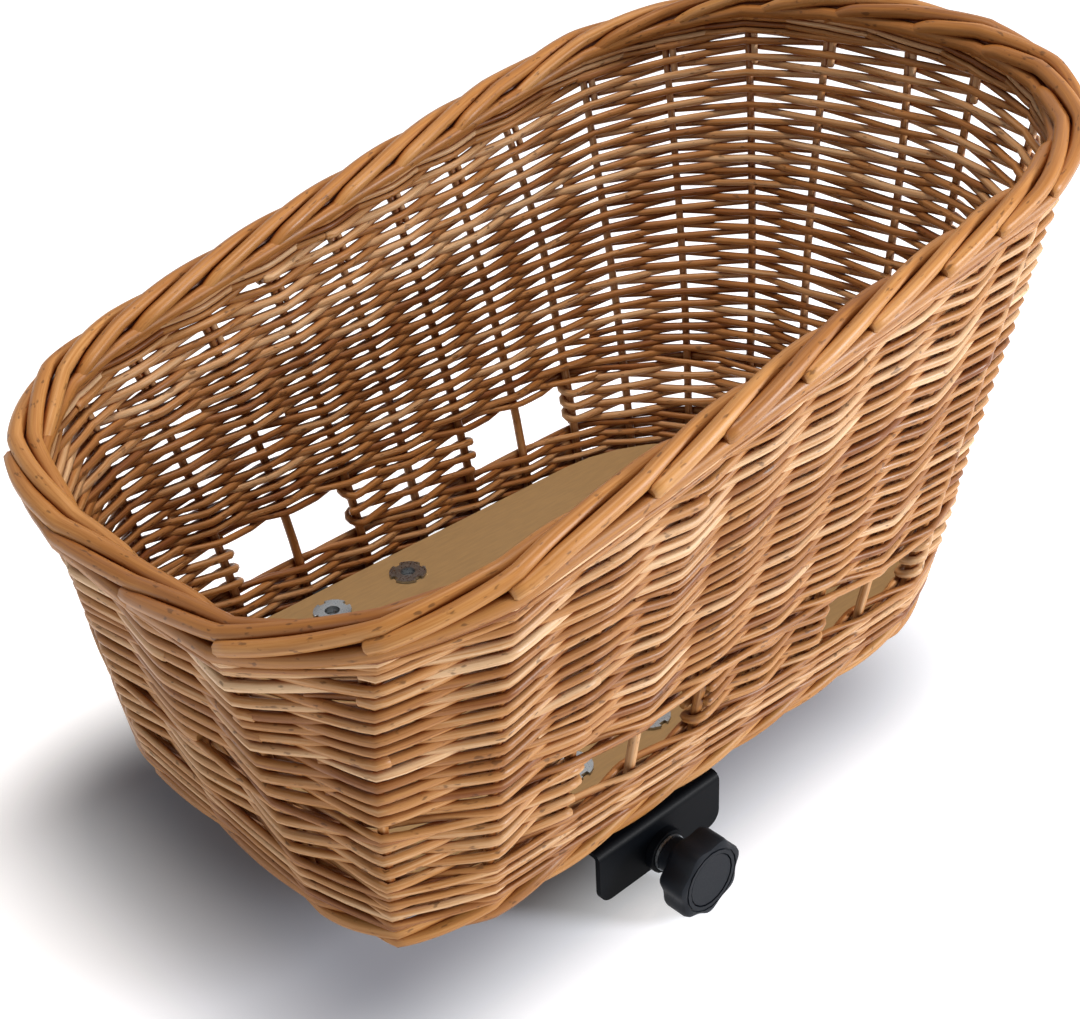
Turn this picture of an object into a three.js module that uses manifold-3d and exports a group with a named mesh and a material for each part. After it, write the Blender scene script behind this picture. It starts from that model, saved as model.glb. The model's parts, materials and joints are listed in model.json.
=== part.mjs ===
// Woven willow bicycle basket for a dog: low front, high rounded back, four low windows in the long
// sides, a plywood floor and a knob-tightened rail clamp under each long side.
// Millimetres, +Z up, -X is the low front, +Y the left side. Z = 0 is the surface the knobs stand on.

import * as THREE from 'three';
import { mergeVertices } from 'three/addons/utils/BufferGeometryUtils.js';
import Module from 'manifold-3d';

const wasm = await Module();
wasm.setup();

// Clearances
const SEAT_GAP = 0.3;
const BORDER_GAP = 0.6;
const SCREW_CLEARANCE = 0.35;
const SLOT_CLEARANCE = 0.3;
const CUT_OVERSHOOT = 1;

// Plan of the wall's middle surface at the foot
const FOOT_HALF_WIDTH = 126;
const FOOT_FRONT = 226;
const FOOT_BACK = 220;
const FOOT_FRONT_CORNER = 46;
const FOOT_BACK_CORNER = 112;

// Growth of that plan for each millimetre of height
const SIDE_FLARE = 0.17;
const FRONT_FLARE = 0.168;
const BACK_FLARE = 0.112;
const FRONT_CORNER_GROWTH = 0.26;
const BACK_CORNER_GROWTH = -0.02;

// Height of the rim's centre line, which climbs from front to back
const RIM_MIDDLE_HEIGHT = 283;
const RIM_SLOPE = 0.206;
const RIM_FRONT_DIP = 20;
const RIM_BACK_RISE = 15;
const RIM_END_POWER = 3;
const RIM_MIDDLE_POWER = 1.5;
const RIM_PASSES = 12;

// Woven wall and borders
const WALL_THICKNESS = 13;
const RIM_BORDER_WIDTH = 20;
const RIM_BORDER_HEIGHT = 18;
const FOOT_BORDER_WIDTH = 18;
const FOOT_BORDER_HEIGHT = 18;

// Windows, two in each long side, each with one bare stake
const WINDOW_SILL = 19.5;
const WINDOW_HEIGHT = 29;
const WINDOW_WIDTH = 75;
const FRONT_WINDOW_X = -90;
const REAR_WINDOW_X = 85;
const STAKE_DIAMETER = 6.4;

// Stakes that the wall is woven round, placed by the wall's parameter at the foot and at the rim
const FRONT_CORNER_STAKES = [
  { foot: 0.88, rim: 0.95 },
  { foot: 1.45, rim: 1.47 },
  { foot: 2.02, rim: 1.82 },
];
const FIRST_SIDE_STAKE_AT_RIM = 2.08;
const SIDE_STAKE_STEP_AT_RIM = 0.15;
const BACK_STAKES = 4;
const WINDOW_EDGE_TO_STAKE = 7;
const STAKE_TWIST = -0.085;

// Weave above the windows; one row here stands for one rod at the front and for a few at the back
const WEAVER_DIAMETER = 3.8;
const WEAVE_ROWS = 18;

// Floor
const BOARD_THICKNESS = 8;
const WOVEN_BASE_THICKNESS = 8.4;
const PACKING_THICKNESS = 9;
const PACKING_WIDTH = 34;

// Tee nuts in the board and the screws that reach them from below
const NUT_MIDDLE_X = -67.5;
const NUT_FROM_FLANGE = 34;
const NUT_FLANGE_DIAMETER = 22;
const NUT_FLANGE_THICKNESS = 1.5;
const NUT_BARREL_DIAMETER = 10.4;
const NUT_BARREL_LENGTH = 7;
const NUT_NOTCH_DEPTH = 2.2;
const NUT_PRONG_WIDTH = 4.2;
const NUT_PRONG_THICKNESS = 1.4;
const NUT_PRONG_LENGTH = 6;
const SCREW_DIAMETER = 8;
const SCREW_LENGTH = 29;
const SCREW_HEAD_FLATS = 13;
const SCREW_HEAD_HEIGHT = 5.3;
const WASHER_DIAMETER = 15.6;
const WASHER_THICKNESS = 1.6;

// Steel angle of each clamp
const STEEL_THICKNESS = 3;
const BRACKET_LENGTH = 86;
const SCREW_EDGE_DISTANCE = 15.5;
const FLANGE_OUTSIDE_FOOT = 5.5;
const SHELF_DEPTH = 53;
const FLANGE_HEIGHT = 31.7;
const FLANGE_CORNER = 8;
const BEND_RADIUS = 4.5;
const AXIS_BELOW_SEAT = 18.7;

// Clamp screw, plate and pad
const BOLT_DIAMETER = 8;
const BOLT_REACH_IN_KNOB = 12;
const BOLT_HEAD_DIAMETER = 20;
const BOLT_HEAD_HEIGHT = 4.4;
const BOLT_HEAD_EDGE = 0.6;
const BOLT_TIP_CHAMFER = 1;
const JAW_OPENING = 16;
const JAW_TRAVEL = 10;
const PLATE_THICKNESS = 3;
const PLATE_SETBACK = 4;
const PLATE_END_HEIGHT = 13;
const PLATE_END_CORNER = 5;
const PLATE_LOBE_RADIUS = 13;
const PAD_THICKNESS = 3;
const PAD_SETBACK = 6;
const PAD_HEIGHT = 10;
const BOSS_DIAMETER = 24;
const BOSS_LENGTH = 4.2;
const KNOB_WASHER_DIAMETER = 20;
const KNOB_WASHER_THICKNESS = 1.5;

// Knob
const KNOB_DIAMETER = 44;
const KNOB_LOBES = 7;
const KNOB_SCALLOP = 2.4;
const KNOB_HEAD_LENGTH = 16;
const KNOB_EDGE = 2.6;
const KNOB_HUB_DIAMETER = 19;
const KNOB_HUB_LENGTH = 5;
const KNOB_NECK_DIAMETER = 27;
const KNOB_NECK_LENGTH = 6;
const CAP_RECESS = 2.2;
const CAP_DIAMETER = 29;
const CAP_THICKNESS = 1.6;
const CAP_CHAMFER = 0.5;
const FACE_GROOVE_DIAMETER = 34.5;
const FACE_GROOVE_WIDTH = 1;
const FACE_GROOVE_DEPTH = 0.7;
const INSERT_DIAMETER = 12;
const INSERT_LENGTH = 16;

// Smoothness of round pieces and of the wall
const ROUND_STEPS = 20;
const RING_SIDES = 8;
const LOBE_STEPS = 8;
const EDGE_STEPS = 2;
const CORNER_STEPS = 6;
const BEND_STEPS = 5;
const DOME_STEPS = 4;
const WALL_STEPS = [2, 6, 5, 8, 2];
const LEAST_WALL_STEP = 0.01;

// The wall's parameter runs from -HALF_ROUND to HALF_ROUND, with zero in the middle of the front
const HALF_ROUND = 5;

// Places and lengths that follow the foot and the steel angle
const FLANGE_OUTER_Y = FOOT_HALF_WIDTH + FLANGE_OUTSIDE_FOOT;
const NUT_Y = FLANGE_OUTER_Y - NUT_FROM_FLANGE;
const NUT_PITCH_X = BRACKET_LENGTH - 2 * SCREW_EDGE_DISTANCE;
const PLATE_LENGTH = BRACKET_LENGTH - 2 * PLATE_SETBACK;
const PAD_LENGTH = PLATE_LENGTH - 2 * PAD_SETBACK;

// Heights worked out from the knob upwards
const AXIS_Z = KNOB_DIAMETER / 2;
const SEAT_Z = AXIS_Z + AXIS_BELOW_SEAT;
const SHELF_TOP = SEAT_Z + STEEL_THICKNESS;
const FOOT_BOTTOM = SHELF_TOP + SEAT_GAP;
const FOOT_Z = FOOT_BOTTOM + FOOT_BORDER_HEIGHT / 2;
const PACKING_TOP = FOOT_BOTTOM + PACKING_THICKNESS;
const WOVEN_BASE_BOTTOM = PACKING_TOP + SEAT_GAP;
const WOVEN_BASE_TOP = WOVEN_BASE_BOTTOM + WOVEN_BASE_THICKNESS;
const BOARD_BOTTOM = WOVEN_BASE_TOP + SEAT_GAP;
const BOARD_TOP = BOARD_BOTTOM + BOARD_THICKNESS;
const WINDOW_BOTTOM = BOARD_TOP + WINDOW_SILL;
const WINDOW_TOP = WINDOW_BOTTOM + WINDOW_HEIGHT;
const WINDOW_MIDDLE = (WINDOW_BOTTOM + WINDOW_TOP) / 2;
const LOWER_WALL_BOTTOM = FOOT_BOTTOM + FOOT_BORDER_HEIGHT + SEAT_GAP;

// Places along the clamp axis, as distances from the middle of the basket
const FLANGE_INNER_Y = FLANGE_OUTER_Y - STEEL_THICKNESS;
const BOSS_INNER_Y = FLANGE_OUTER_Y + SEAT_GAP;
const BOSS_OUTER_Y = BOSS_INNER_Y + BOSS_LENGTH;
const KNOB_WASHER_INNER_Y = BOSS_OUTER_Y + SEAT_GAP;
const KNOB_WASHER_OUTER_Y = KNOB_WASHER_INNER_Y + KNOB_WASHER_THICKNESS;
const HUB_Y = KNOB_WASHER_OUTER_Y + SEAT_GAP;
const NECK_Y = HUB_Y + KNOB_HUB_LENGTH;
const HEAD_Y = NECK_Y + KNOB_NECK_LENGTH;
const FACE_Y = HEAD_Y + KNOB_HEAD_LENGTH;
const PAD_OUTER_Y = FLANGE_INNER_Y - JAW_OPENING;
const PAD_INNER_Y = PAD_OUTER_Y - PAD_THICKNESS;
const PLATE_OUTER_Y = PAD_INNER_Y - SEAT_GAP;
const PLATE_INNER_Y = PLATE_OUTER_Y - PLATE_THICKNESS;
const BOLT_HEAD_Y = PLATE_INNER_Y - SEAT_GAP;
const BOLT_END_Y = HUB_Y + BOLT_REACH_IN_KNOB;
const BORE_END_Y = BOLT_END_Y + JAW_TRAVEL + SEAT_GAP;

const WILLOW = { color: 0xb98552, roughness: 0.62, metalness: 0 };
const WILLOW_BORDER = { color: 0xa86f38, roughness: 0.55, metalness: 0 };
const PLYWOOD = { color: 0xb39a73, roughness: 0.75, metalness: 0 };
const PACKING_WOOD = { color: 0xc2a173, roughness: 0.8, metalness: 0 };
const BLACK_STEEL = { color: 0x1b1d20, roughness: 0.5, metalness: 0.3 };
const ZINC_STEEL = { color: 0xa3a8ab, roughness: 0.35, metalness: 0.9 };
const BLACK_PLASTIC = { color: 0x202327, roughness: 0.55, metalness: 0 };
const BLACK_RUBBER = { color: 0x151515, roughness: 0.9, metalness: 0 };
const BRASS = { color: 0xb08d4a, roughness: 0.35, metalness: 0.9 };

const UP_Z = new THREE.Matrix4().makeRotationX(Math.PI / 2);
const PROFILE_ALONG_X = new THREE.Matrix4().makeBasis(
  new THREE.Vector3(0, 1, 0),
  new THREE.Vector3(0, 0, 1),
  new THREE.Vector3(1, 0, 0),
);
const OUTLINE_ALONG_Y = new THREE.Matrix4().makeBasis(
  new THREE.Vector3(1, 0, 0),
  new THREE.Vector3(0, 0, 1),
  new THREE.Vector3(0, -1, 0),
);

// A closed surface as bare positions and triangles, facing out
function closed(geometry) {
  const bare = geometry.clone();
  bare.deleteAttribute('normal');
  bare.deleteAttribute('uv');
  const merged = mergeVertices(bare, 1e-4);
  const place = merged.attributes.position;
  const index = merged.index.array;
  const a = new THREE.Vector3();
  const b = new THREE.Vector3();
  const c = new THREE.Vector3();
  const kept = [];
  let volume = 0;
  for (let i = 0; i < index.length; i += 3) {
    const [p, q, r] = [index[i], index[i + 1], index[i + 2]];
    if (p === q || q === r || r === p) continue;
    kept.push(p, q, r);
    a.fromBufferAttribute(place, p);
    b.fromBufferAttribute(place, q);
    c.fromBufferAttribute(place, r);
    volume += a.dot(b.cross(c));
  }
  merged.setIndex(volume < 0 ? kept.reverse() : kept);
  return merged;
}

function solid(geometry) {
  const surface = closed(geometry);
  return new wasm.Manifold(new wasm.Mesh({
    numProp: 3,
    vertProperties: new Float32Array(surface.attributes.position.array),
    triVerts: new Uint32Array(surface.index.array),
  }));
}

function surfaceOf(body) {
  const mesh = body.getMesh();
  const geometry = new THREE.BufferGeometry();
  geometry.setAttribute('position', new THREE.BufferAttribute(new Float32Array(mesh.vertProperties), 3));
  geometry.setIndex(new THREE.BufferAttribute(new Uint32Array(mesh.triVerts), 1));
  return geometry;
}

// A base geometry with others added to it and then others cut from it
function shaped(base, added, cut) {
  let body = solid(base);
  for (const piece of added) body = body.add(solid(piece));
  for (const piece of cut) body = body.subtract(solid(piece));
  return surfaceOf(body);
}

// Round pieces turned about Y from [radius, place] pairs, closed through the axis or on themselves
function turned(profile) {
  const points = profile.map(([radius, place]) => new THREE.Vector2(radius, place));
  return new THREE.LatheGeometry(points, ROUND_STEPS);
}

function sleeve(inner, outer, from, to) {
  return turned([[inner, from], [outer, from], [outer, to], [inner, to], [inner, from]]);
}

function rod(radius, from, to) {
  return turned([[0, from], [radius, from], [radius, to], [0, to]]);
}

function alongZ(geometry, x, y) {
  return geometry.applyMatrix4(UP_Z).translate(x, y, 0);
}

function alongOutwardAxis(geometry) {
  return geometry.rotateX(Math.PI).translate(0, 0, AXIS_Z);
}

function block(low, high) {
  const size = high.map((value, i) => value - low[i]);
  const middle = high.map((value, i) => (value + low[i]) / 2);
  return new THREE.BoxGeometry(...size).translate(...middle);
}

// Wall: each level is a rectangle with round corners, bigger at the back, which grows with height.
// The parameter runs 0 to 1 along half the front, then front corner, side, back corner and half
// the back; negative values are the right side.
function section(z, offset) {
  const rise = z - FOOT_Z;
  return {
    half: FOOT_HALF_WIDTH + SIDE_FLARE * rise + offset,
    front: FOOT_FRONT + FRONT_FLARE * rise + offset,
    back: FOOT_BACK + BACK_FLARE * rise + offset,
    frontCorner: FOOT_FRONT_CORNER + FRONT_CORNER_GROWTH * rise + offset,
    backCorner: FOOT_BACK_CORNER + BACK_CORNER_GROWTH * rise + offset,
  };
}

function wallPoint(parameter, z, offset) {
  const wrapped = parameter > HALF_ROUND ? parameter - 2 * HALF_ROUND : parameter;
  const part = Math.abs(wrapped);
  const side = Math.sign(wrapped);
  const { half, front, back, frontCorner, backCorner } = section(z, offset);
  if (part <= 1) return new THREE.Vector3(-front, side * part * (half - frontCorner), z);
  if (part >= 4) return new THREE.Vector3(back, side * (HALF_ROUND - part) * (half - backCorner), z);
  const turn = (part % 1) * Math.PI / 2;
  if (part < 2) {
    const x = -front + frontCorner * (1 - Math.cos(turn));
    return new THREE.Vector3(x, side * (half - frontCorner * (1 - Math.sin(turn))), z);
  }
  if (part <= 3) {
    const x = THREE.MathUtils.lerp(-front + frontCorner, back - backCorner, part - 2);
    return new THREE.Vector3(x, side * half, z);
  }
  const x = back - backCorner * (1 - Math.sin(turn));
  return new THREE.Vector3(x, side * (half - backCorner * (1 - Math.cos(turn))), z);
}

// Parameter of the place on the left side with a given X
function sideParameter(x, z) {
  const { front, back, frontCorner, backCorner } = section(z, 0);
  const start = -front + frontCorner;
  const end = back - backCorner;
  if (x < start) return 1 + Math.acos((x + front - frontCorner) / -frontCorner) / (Math.PI / 2);
  if (x > end) return 3 + Math.asin((x - end) / backCorner) / (Math.PI / 2);
  return 2 + (x - start) / (end - start);
}

function rimHeight(parameter) {
  let z = RIM_MIDDLE_HEIGHT;
  for (let pass = 0; pass < RIM_PASSES; pass += 1) {
    const { x, y } = wallPoint(parameter, z, 0);
    const { half, front, back } = section(z, 0);
    const middle = Math.max(0, 1 - (y / half) ** 2) ** RIM_MIDDLE_POWER;
    const end = Math.abs(x / (x < 0 ? front : back)) ** RIM_END_POWER;
    const bow = (x < 0 ? -RIM_FRONT_DIP : RIM_BACK_RISE) * middle * end;
    z = RIM_MIDDLE_HEIGHT + RIM_SLOPE * x + bow;
  }
  return z;
}

function parametersBetween(from, to) {
  const marks = [];
  WALL_STEPS.forEach((steps, part) => {
    for (let i = 0; i < steps; i += 1) marks.push(part + i / steps);
  });
  const left = [...marks, HALF_ROUND];
  const all = [
    ...left.map((mark) => -mark),
    ...left,
    ...left.map((mark) => 2 * HALF_ROUND - mark),
  ];
  const inside = all.filter((mark) => mark > from + LEAST_WALL_STEP && mark < to - LEAST_WALL_STEP);
  return [from, ...[...new Set(inside)].sort((p, q) => p - q), to];
}

// Surface through rows of points; each row is a closed loop, and the rows close up or end in flat
// four-cornered caps
function skin(rows, closesUp) {
  const count = rows[0].length;
  const positions = rows.flat().flatMap((point) => point.toArray());
  const index = [];
  const last = closesUp ? rows.length : rows.length - 1;
  for (let i = 0; i < last; i += 1) {
    const next = (i + 1) % rows.length;
    for (let j = 0; j < count; j += 1) {
      const k = (j + 1) % count;
      const [a, b] = [i * count + j, i * count + k];
      const [c, d] = [next * count + j, next * count + k];
      index.push(a, b, c, b, d, c);
    }
  }
  if (!closesUp) {
    const end = (rows.length - 1) * count;
    index.push(0, 2, 1, 0, 3, 2, end, end + 1, end + 2, end, end + 2, end + 3);
  }
  const geometry = new THREE.BufferGeometry();
  geometry.setAttribute('position', new THREE.Float32BufferAttribute(positions, 3));
  geometry.setIndex(index);
  return closed(geometry);
}

// Band of woven wall from one parameter to another, between two heights
function wallBand(from, to, lowAt, highAt) {
  const closesUp = to - from >= 2 * HALF_ROUND;
  const parameters = parametersBetween(from, to);
  if (closesUp) parameters.pop();
  const rows = parameters.map((parameter) => {
    const [low, high] = [lowAt(parameter), highAt(parameter)];
    return [
      wallPoint(parameter, low, WALL_THICKNESS / 2),
      wallPoint(parameter, high, WALL_THICKNESS / 2),
      wallPoint(parameter, high, -WALL_THICKNESS / 2),
      wallPoint(parameter, low, -WALL_THICKNESS / 2),
    ];
  });
  return skin(rows, closesUp);
}

// Places evenly spaced from one place towards the middle of the back, and half a space short of it
function placesTowardsBack(last, z) {
  const { half, front, back, frontCorner, backCorner } = section(z, 0);
  const ends = [0];
  for (const length of [
    half - frontCorner,
    (frontCorner * Math.PI) / 2,
    front + back - frontCorner - backCorner,
    (backCorner * Math.PI) / 2,
    half - backCorner,
  ]) {
    ends.push(ends.at(-1) + length);
  }
  const part = Math.floor(last);
  const start = THREE.MathUtils.lerp(ends[part], ends[part + 1], last - part);
  const step = (ends.at(-1) - start) / (BACK_STAKES + 0.5);
  const places = [];
  for (let i = 1; i <= BACK_STAKES; i += 1) {
    const reach = start + i * step;
    const at = ends.findIndex((end) => end > reach) - 1;
    places.push(at + (reach - ends[at]) / (ends[at + 1] - ends[at]));
  }
  return places;
}

// Places of the stakes at foot and rim, from the middle of the front along the left side
function stakePlaces() {
  const reach = WINDOW_WIDTH / 2 + WINDOW_EDGE_TO_STAKE;
  const sideX = [
    FRONT_WINDOW_X - reach,
    FRONT_WINDOW_X,
    FRONT_WINDOW_X + reach,
    (FRONT_WINDOW_X + REAR_WINDOW_X) / 2,
    REAR_WINDOW_X - reach,
    REAR_WINDOW_X,
    REAR_WINDOW_X + reach,
  ];
  const side = sideX.map((x, i) => {
    const rim = FIRST_SIDE_STAKE_AT_RIM + SIDE_STAKE_STEP_AT_RIM * i;
    const share = (WINDOW_MIDDLE - FOOT_Z) / (rimHeight(rim) - FOOT_Z);
    return { foot: (sideParameter(x, WINDOW_MIDDLE) - rim * share) / (1 - share), rim };
  });
  const { foot, rim } = side.at(-1);
  const backAtRim = placesTowardsBack(rim, rimHeight(HALF_ROUND));
  const back = placesTowardsBack(foot, FOOT_Z).map((place, i) => ({ foot: place, rim: backAtRim[i] }));
  return [{ foot: 0, rim: 0 }, ...FRONT_CORNER_STAKES, ...side, ...back];
}

const STAKES = stakePlaces();
const LAST_STAKE = STAKES.length - 1;

// Wall parameter of a stake at a height. Numbers below zero are the right side, and the number after
// the last one goes on round the back.
function stakePlace(number, z) {
  const goesOn = number > LAST_STAKE;
  const own = goesOn ? number - 2 * LAST_STAKE - 1 : number;
  const side = Math.sign(own);
  const { foot, rim } = STAKES[Math.abs(own)];
  const share = (z - FOOT_Z) / (rimHeight(side * rim + STAKE_TWIST) - FOOT_Z);
  const place = side * THREE.MathUtils.lerp(foot, rim, share) + STAKE_TWIST * share ** 2;
  return goesOn ? place + 2 * HALF_ROUND : place;
}

// Woven wall all the way round, from a height up to the rim's centre line: at each stake the rows pass
// outside and inside by turns, and they run straight from one stake to the next
function wovenBand(low) {
  const columns = [];
  for (let stake = -LAST_STAKE; stake <= LAST_STAKE; stake += 1) {
    columns.push([stake, stake], [stake, stake + 1]);
  }
  const loops = columns.map(([first, second]) => {
    const pointAt = (z, offset) => wallPoint(stakePlace(first, z), z, offset)
      .lerp(wallPoint(stakePlace(second, z), z, offset), 0.5);
    let high = RIM_MIDDLE_HEIGHT;
    for (let pass = 0; pass < RIM_PASSES; pass += 1) {
      high = rimHeight((stakePlace(first, high) + stakePlace(second, high)) / 2);
    }
    const outside = [];
    const inside = [];
    for (let row = 0; row <= WEAVE_ROWS; row += 1) {
      const z = THREE.MathUtils.lerp(low, high, row / WEAVE_ROWS);
      const passesOutside = (first + row) % 2 === 0;
      let [outer, inner] = [WEAVER_DIAMETER / 2, WEAVER_DIAMETER / 2];
      if (first === second) {
        outer = (passesOutside ? WALL_THICKNESS : STAKE_DIAMETER) / 2;
        inner = (passesOutside ? STAKE_DIAMETER : WALL_THICKNESS) / 2;
      }
      outside.push(pointAt(z, outer));
      inside.unshift(pointAt(z, -inner));
    }
    return [...outside, ...inside];
  });
  return skin(loops, true);
}

// Closed border of elliptical section round the wall, its centre line at a height for each place
function borderRing(heightAt, width, height) {
  const parameters = parametersBetween(-HALF_ROUND, HALF_ROUND);
  parameters.pop();
  const rows = parameters.map((parameter) => {
    const z = heightAt(parameter);
    const row = [];
    for (let i = 0; i < RING_SIDES; i += 1) {
      const angle = (i / RING_SIDES) * Math.PI * 2;
      const point = wallPoint(parameter, z, (width / 2) * Math.cos(angle));
      row.push(point.setZ(z + (height / 2) * Math.sin(angle)));
    }
    return row;
  });
  return skin(rows, true);
}

// Flat outline of the wall at one level, with the same facets as the wall that it lies against
function planOutline(z, offset) {
  const places = parametersBetween(-HALF_ROUND, HALF_ROUND).slice(0, -1);
  return new THREE.Shape(places.map((place) => {
    const { x, y } = wallPoint(place, z, offset);
    return new THREE.Vector2(x, y);
  }));
}

function slab(shape, bottom, top) {
  return new THREE.ExtrudeGeometry(shape, {
    depth: top - bottom,
    bevelEnabled: false,
  }).translate(0, 0, bottom);
}

const basket = new THREE.Group();

function addPiece(parent, name, geometry, finish) {
  const mesh = new THREE.Mesh(geometry, new THREE.MeshStandardMaterial(finish));
  mesh.name = name;
  parent.add(mesh);
}

// Places of the four tee nuts
const NUTS = [];
for (const [side, sign] of [['right', -1], ['left', 1]]) {
  for (const [end, step] of [['front', -0.5], ['rear', 0.5]]) {
    NUTS.push({ label: `${end}_${side}`, x: NUT_MIDDLE_X + step * NUT_PITCH_X, y: sign * NUT_Y });
  }
}

const NUT_BOTTOM = BOARD_TOP - NUT_BARREL_LENGTH;
const NUT_FLANGE_BOTTOM = BOARD_TOP + SEAT_GAP;
const NUT_FLANGE_TOP = NUT_FLANGE_BOTTOM + NUT_FLANGE_THICKNESS;
const PRONG_RADIUS = NUT_FLANGE_DIAMETER / 2 - NUT_NOTCH_DEPTH - NUT_PRONG_THICKNESS / 2;
const SCREW_BORE = SCREW_DIAMETER / 2 + SCREW_CLEARANCE;

// The four bent-down prongs of a tee nut, or with a margin the slots that they are driven into
function prongs(nut, margin) {
  const radial = NUT_PRONG_THICKNESS / 2 + margin;
  const across = NUT_PRONG_WIDTH / 2 + margin;
  const bottom = NUT_FLANGE_BOTTOM - NUT_PRONG_LENGTH - margin;
  const top = margin > 0 ? BOARD_TOP + margin : NUT_FLANGE_TOP - NUT_FLANGE_THICKNESS / 2;
  return [0, 1, 2, 3].map((quarter) => block(
    [PRONG_RADIUS - radial, -across, bottom],
    [PRONG_RADIUS + radial, across, top],
  ).rotateZ((quarter * Math.PI) / 2).translate(nut.x, nut.y, 0));
}

function teeNut(nut) {
  const outer = NUT_FLANGE_DIAMETER / 2;
  const body = alongZ(turned([
    [SCREW_BORE, NUT_BOTTOM],
    [NUT_BARREL_DIAMETER / 2, NUT_BOTTOM],
    [NUT_BARREL_DIAMETER / 2, NUT_FLANGE_BOTTOM],
    [outer, NUT_FLANGE_BOTTOM],
    [outer, NUT_FLANGE_TOP],
    [SCREW_BORE, NUT_FLANGE_TOP],
    [SCREW_BORE, NUT_BOTTOM],
  ]), nut.x, nut.y);
  const notches = [0, 1, 2, 3].map((quarter) => block(
    [outer - NUT_NOTCH_DEPTH, -NUT_PRONG_WIDTH / 2, NUT_FLANGE_BOTTOM - CUT_OVERSHOOT],
    [outer + CUT_OVERSHOOT, NUT_PRONG_WIDTH / 2, NUT_FLANGE_TOP + CUT_OVERSHOOT],
  ).rotateZ((quarter * Math.PI) / 2).translate(nut.x, nut.y, 0));
  return shaped(body, prongs(nut, 0), notches);
}

// Cutter for a screw hole through everything between two heights
function screwHole(x, y, bottom, top) {
  return alongZ(rod(SCREW_BORE, bottom - CUT_OVERSHOOT, top + CUT_OVERSHOOT), x, y);
}

function floorBoard() {
  const inset = -WALL_THICKNESS / 2 - SEAT_GAP;
  const board = slab(planOutline(BOARD_BOTTOM, inset), BOARD_BOTTOM, BOARD_TOP);
  const bore = NUT_BARREL_DIAMETER / 2 + SLOT_CLEARANCE;
  const cuts = NUTS.flatMap((nut) => [
    alongZ(rod(bore, BOARD_BOTTOM - CUT_OVERSHOOT, BOARD_TOP + CUT_OVERSHOOT), nut.x, nut.y),
    ...prongs(nut, SLOT_CLEARANCE),
  ]);
  return shaped(board, [], cuts);
}

function wovenBase() {
  const inset = -FOOT_BORDER_WIDTH / 2 - SEAT_GAP;
  const base = slab(planOutline(FOOT_Z, inset), WOVEN_BASE_BOTTOM, WOVEN_BASE_TOP);
  const cuts = NUTS.map((nut) => screwHole(nut.x, nut.y, WOVEN_BASE_BOTTOM, WOVEN_BASE_TOP));
  return shaped(base, [], cuts);
}

const WASHER_TOP = SEAT_Z - SEAT_GAP;
const WASHER_BOTTOM = WASHER_TOP - WASHER_THICKNESS;
const SCREW_HEAD_TOP = WASHER_BOTTOM - SEAT_GAP;
const SCREW_HEAD_BOTTOM = SCREW_HEAD_TOP - SCREW_HEAD_HEIGHT;

function bracketScrew(nut) {
  const corner = SCREW_HEAD_FLATS / 2 / Math.cos(Math.PI / 6);
  const head = new THREE.CylinderGeometry(corner, corner, SCREW_HEAD_HEIGHT, 6);
  head.translate(0, (SCREW_HEAD_BOTTOM + SCREW_HEAD_TOP) / 2, 0);
  const shank = rod(SCREW_DIAMETER / 2, SCREW_HEAD_BOTTOM, SCREW_HEAD_TOP + SCREW_LENGTH);
  return shaped(alongZ(head, nut.x, nut.y), [alongZ(shank, nut.x, nut.y)], []);
}

addPiece(basket, 'floor_board', floorBoard(), PLYWOOD);
addPiece(basket, 'woven_base', wovenBase(), WILLOW);
for (const nut of NUTS) {
  const washer = sleeve(SCREW_BORE, WASHER_DIAMETER / 2, WASHER_BOTTOM, WASHER_TOP);
  addPiece(basket, `tee_nut_${nut.label}`, teeNut(nut), ZINC_STEEL);
  addPiece(basket, `bracket_screw_${nut.label}`, bracketScrew(nut), ZINC_STEEL);
  addPiece(basket, `screw_washer_${nut.label}`, closed(alongZ(washer, nut.x, nut.y)), ZINC_STEEL);
}

// Woven wall in bands: below the windows, the piers between them, and above them up to the rim
const edgeOf = (x, step) => sideParameter(x + (step * WINDOW_WIDTH) / 2, WINDOW_MIDDLE);
const FRONT_WINDOW = [edgeOf(FRONT_WINDOW_X, -1), edgeOf(FRONT_WINDOW_X, 1)];
const REAR_WINDOW = [edgeOf(REAR_WINDOW_X, -1), edgeOf(REAR_WINDOW_X, 1)];
const footHeight = () => FOOT_Z;

function pier(from, to) {
  return wallBand(from, to, () => WINDOW_BOTTOM, () => WINDOW_TOP);
}

addPiece(
  basket,
  'foot_border',
  borderRing(footHeight, FOOT_BORDER_WIDTH, FOOT_BORDER_HEIGHT),
  WILLOW_BORDER,
);
addPiece(
  basket,
  'lower_wall',
  wallBand(-HALF_ROUND, HALF_ROUND, () => LOWER_WALL_BOTTOM, () => WINDOW_BOTTOM - SEAT_GAP),
  WILLOW,
);
addPiece(basket, 'window_pier_front', pier(-FRONT_WINDOW[0], FRONT_WINDOW[0]), WILLOW);
addPiece(basket, 'window_pier_left', pier(FRONT_WINDOW[1], REAR_WINDOW[0]), WILLOW);
addPiece(basket, 'window_pier_right', pier(-REAR_WINDOW[0], -FRONT_WINDOW[1]), WILLOW);
addPiece(basket, 'window_pier_back', pier(REAR_WINDOW[1], 2 * HALF_ROUND - REAR_WINDOW[1]), WILLOW);
const rimSpace = borderRing(
  rimHeight,
  RIM_BORDER_WIDTH + 2 * BORDER_GAP,
  RIM_BORDER_HEIGHT + 2 * BORDER_GAP,
);
addPiece(basket, 'upper_wall', shaped(wovenBand(WINDOW_TOP + SEAT_GAP), [], [rimSpace]), WILLOW);
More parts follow.
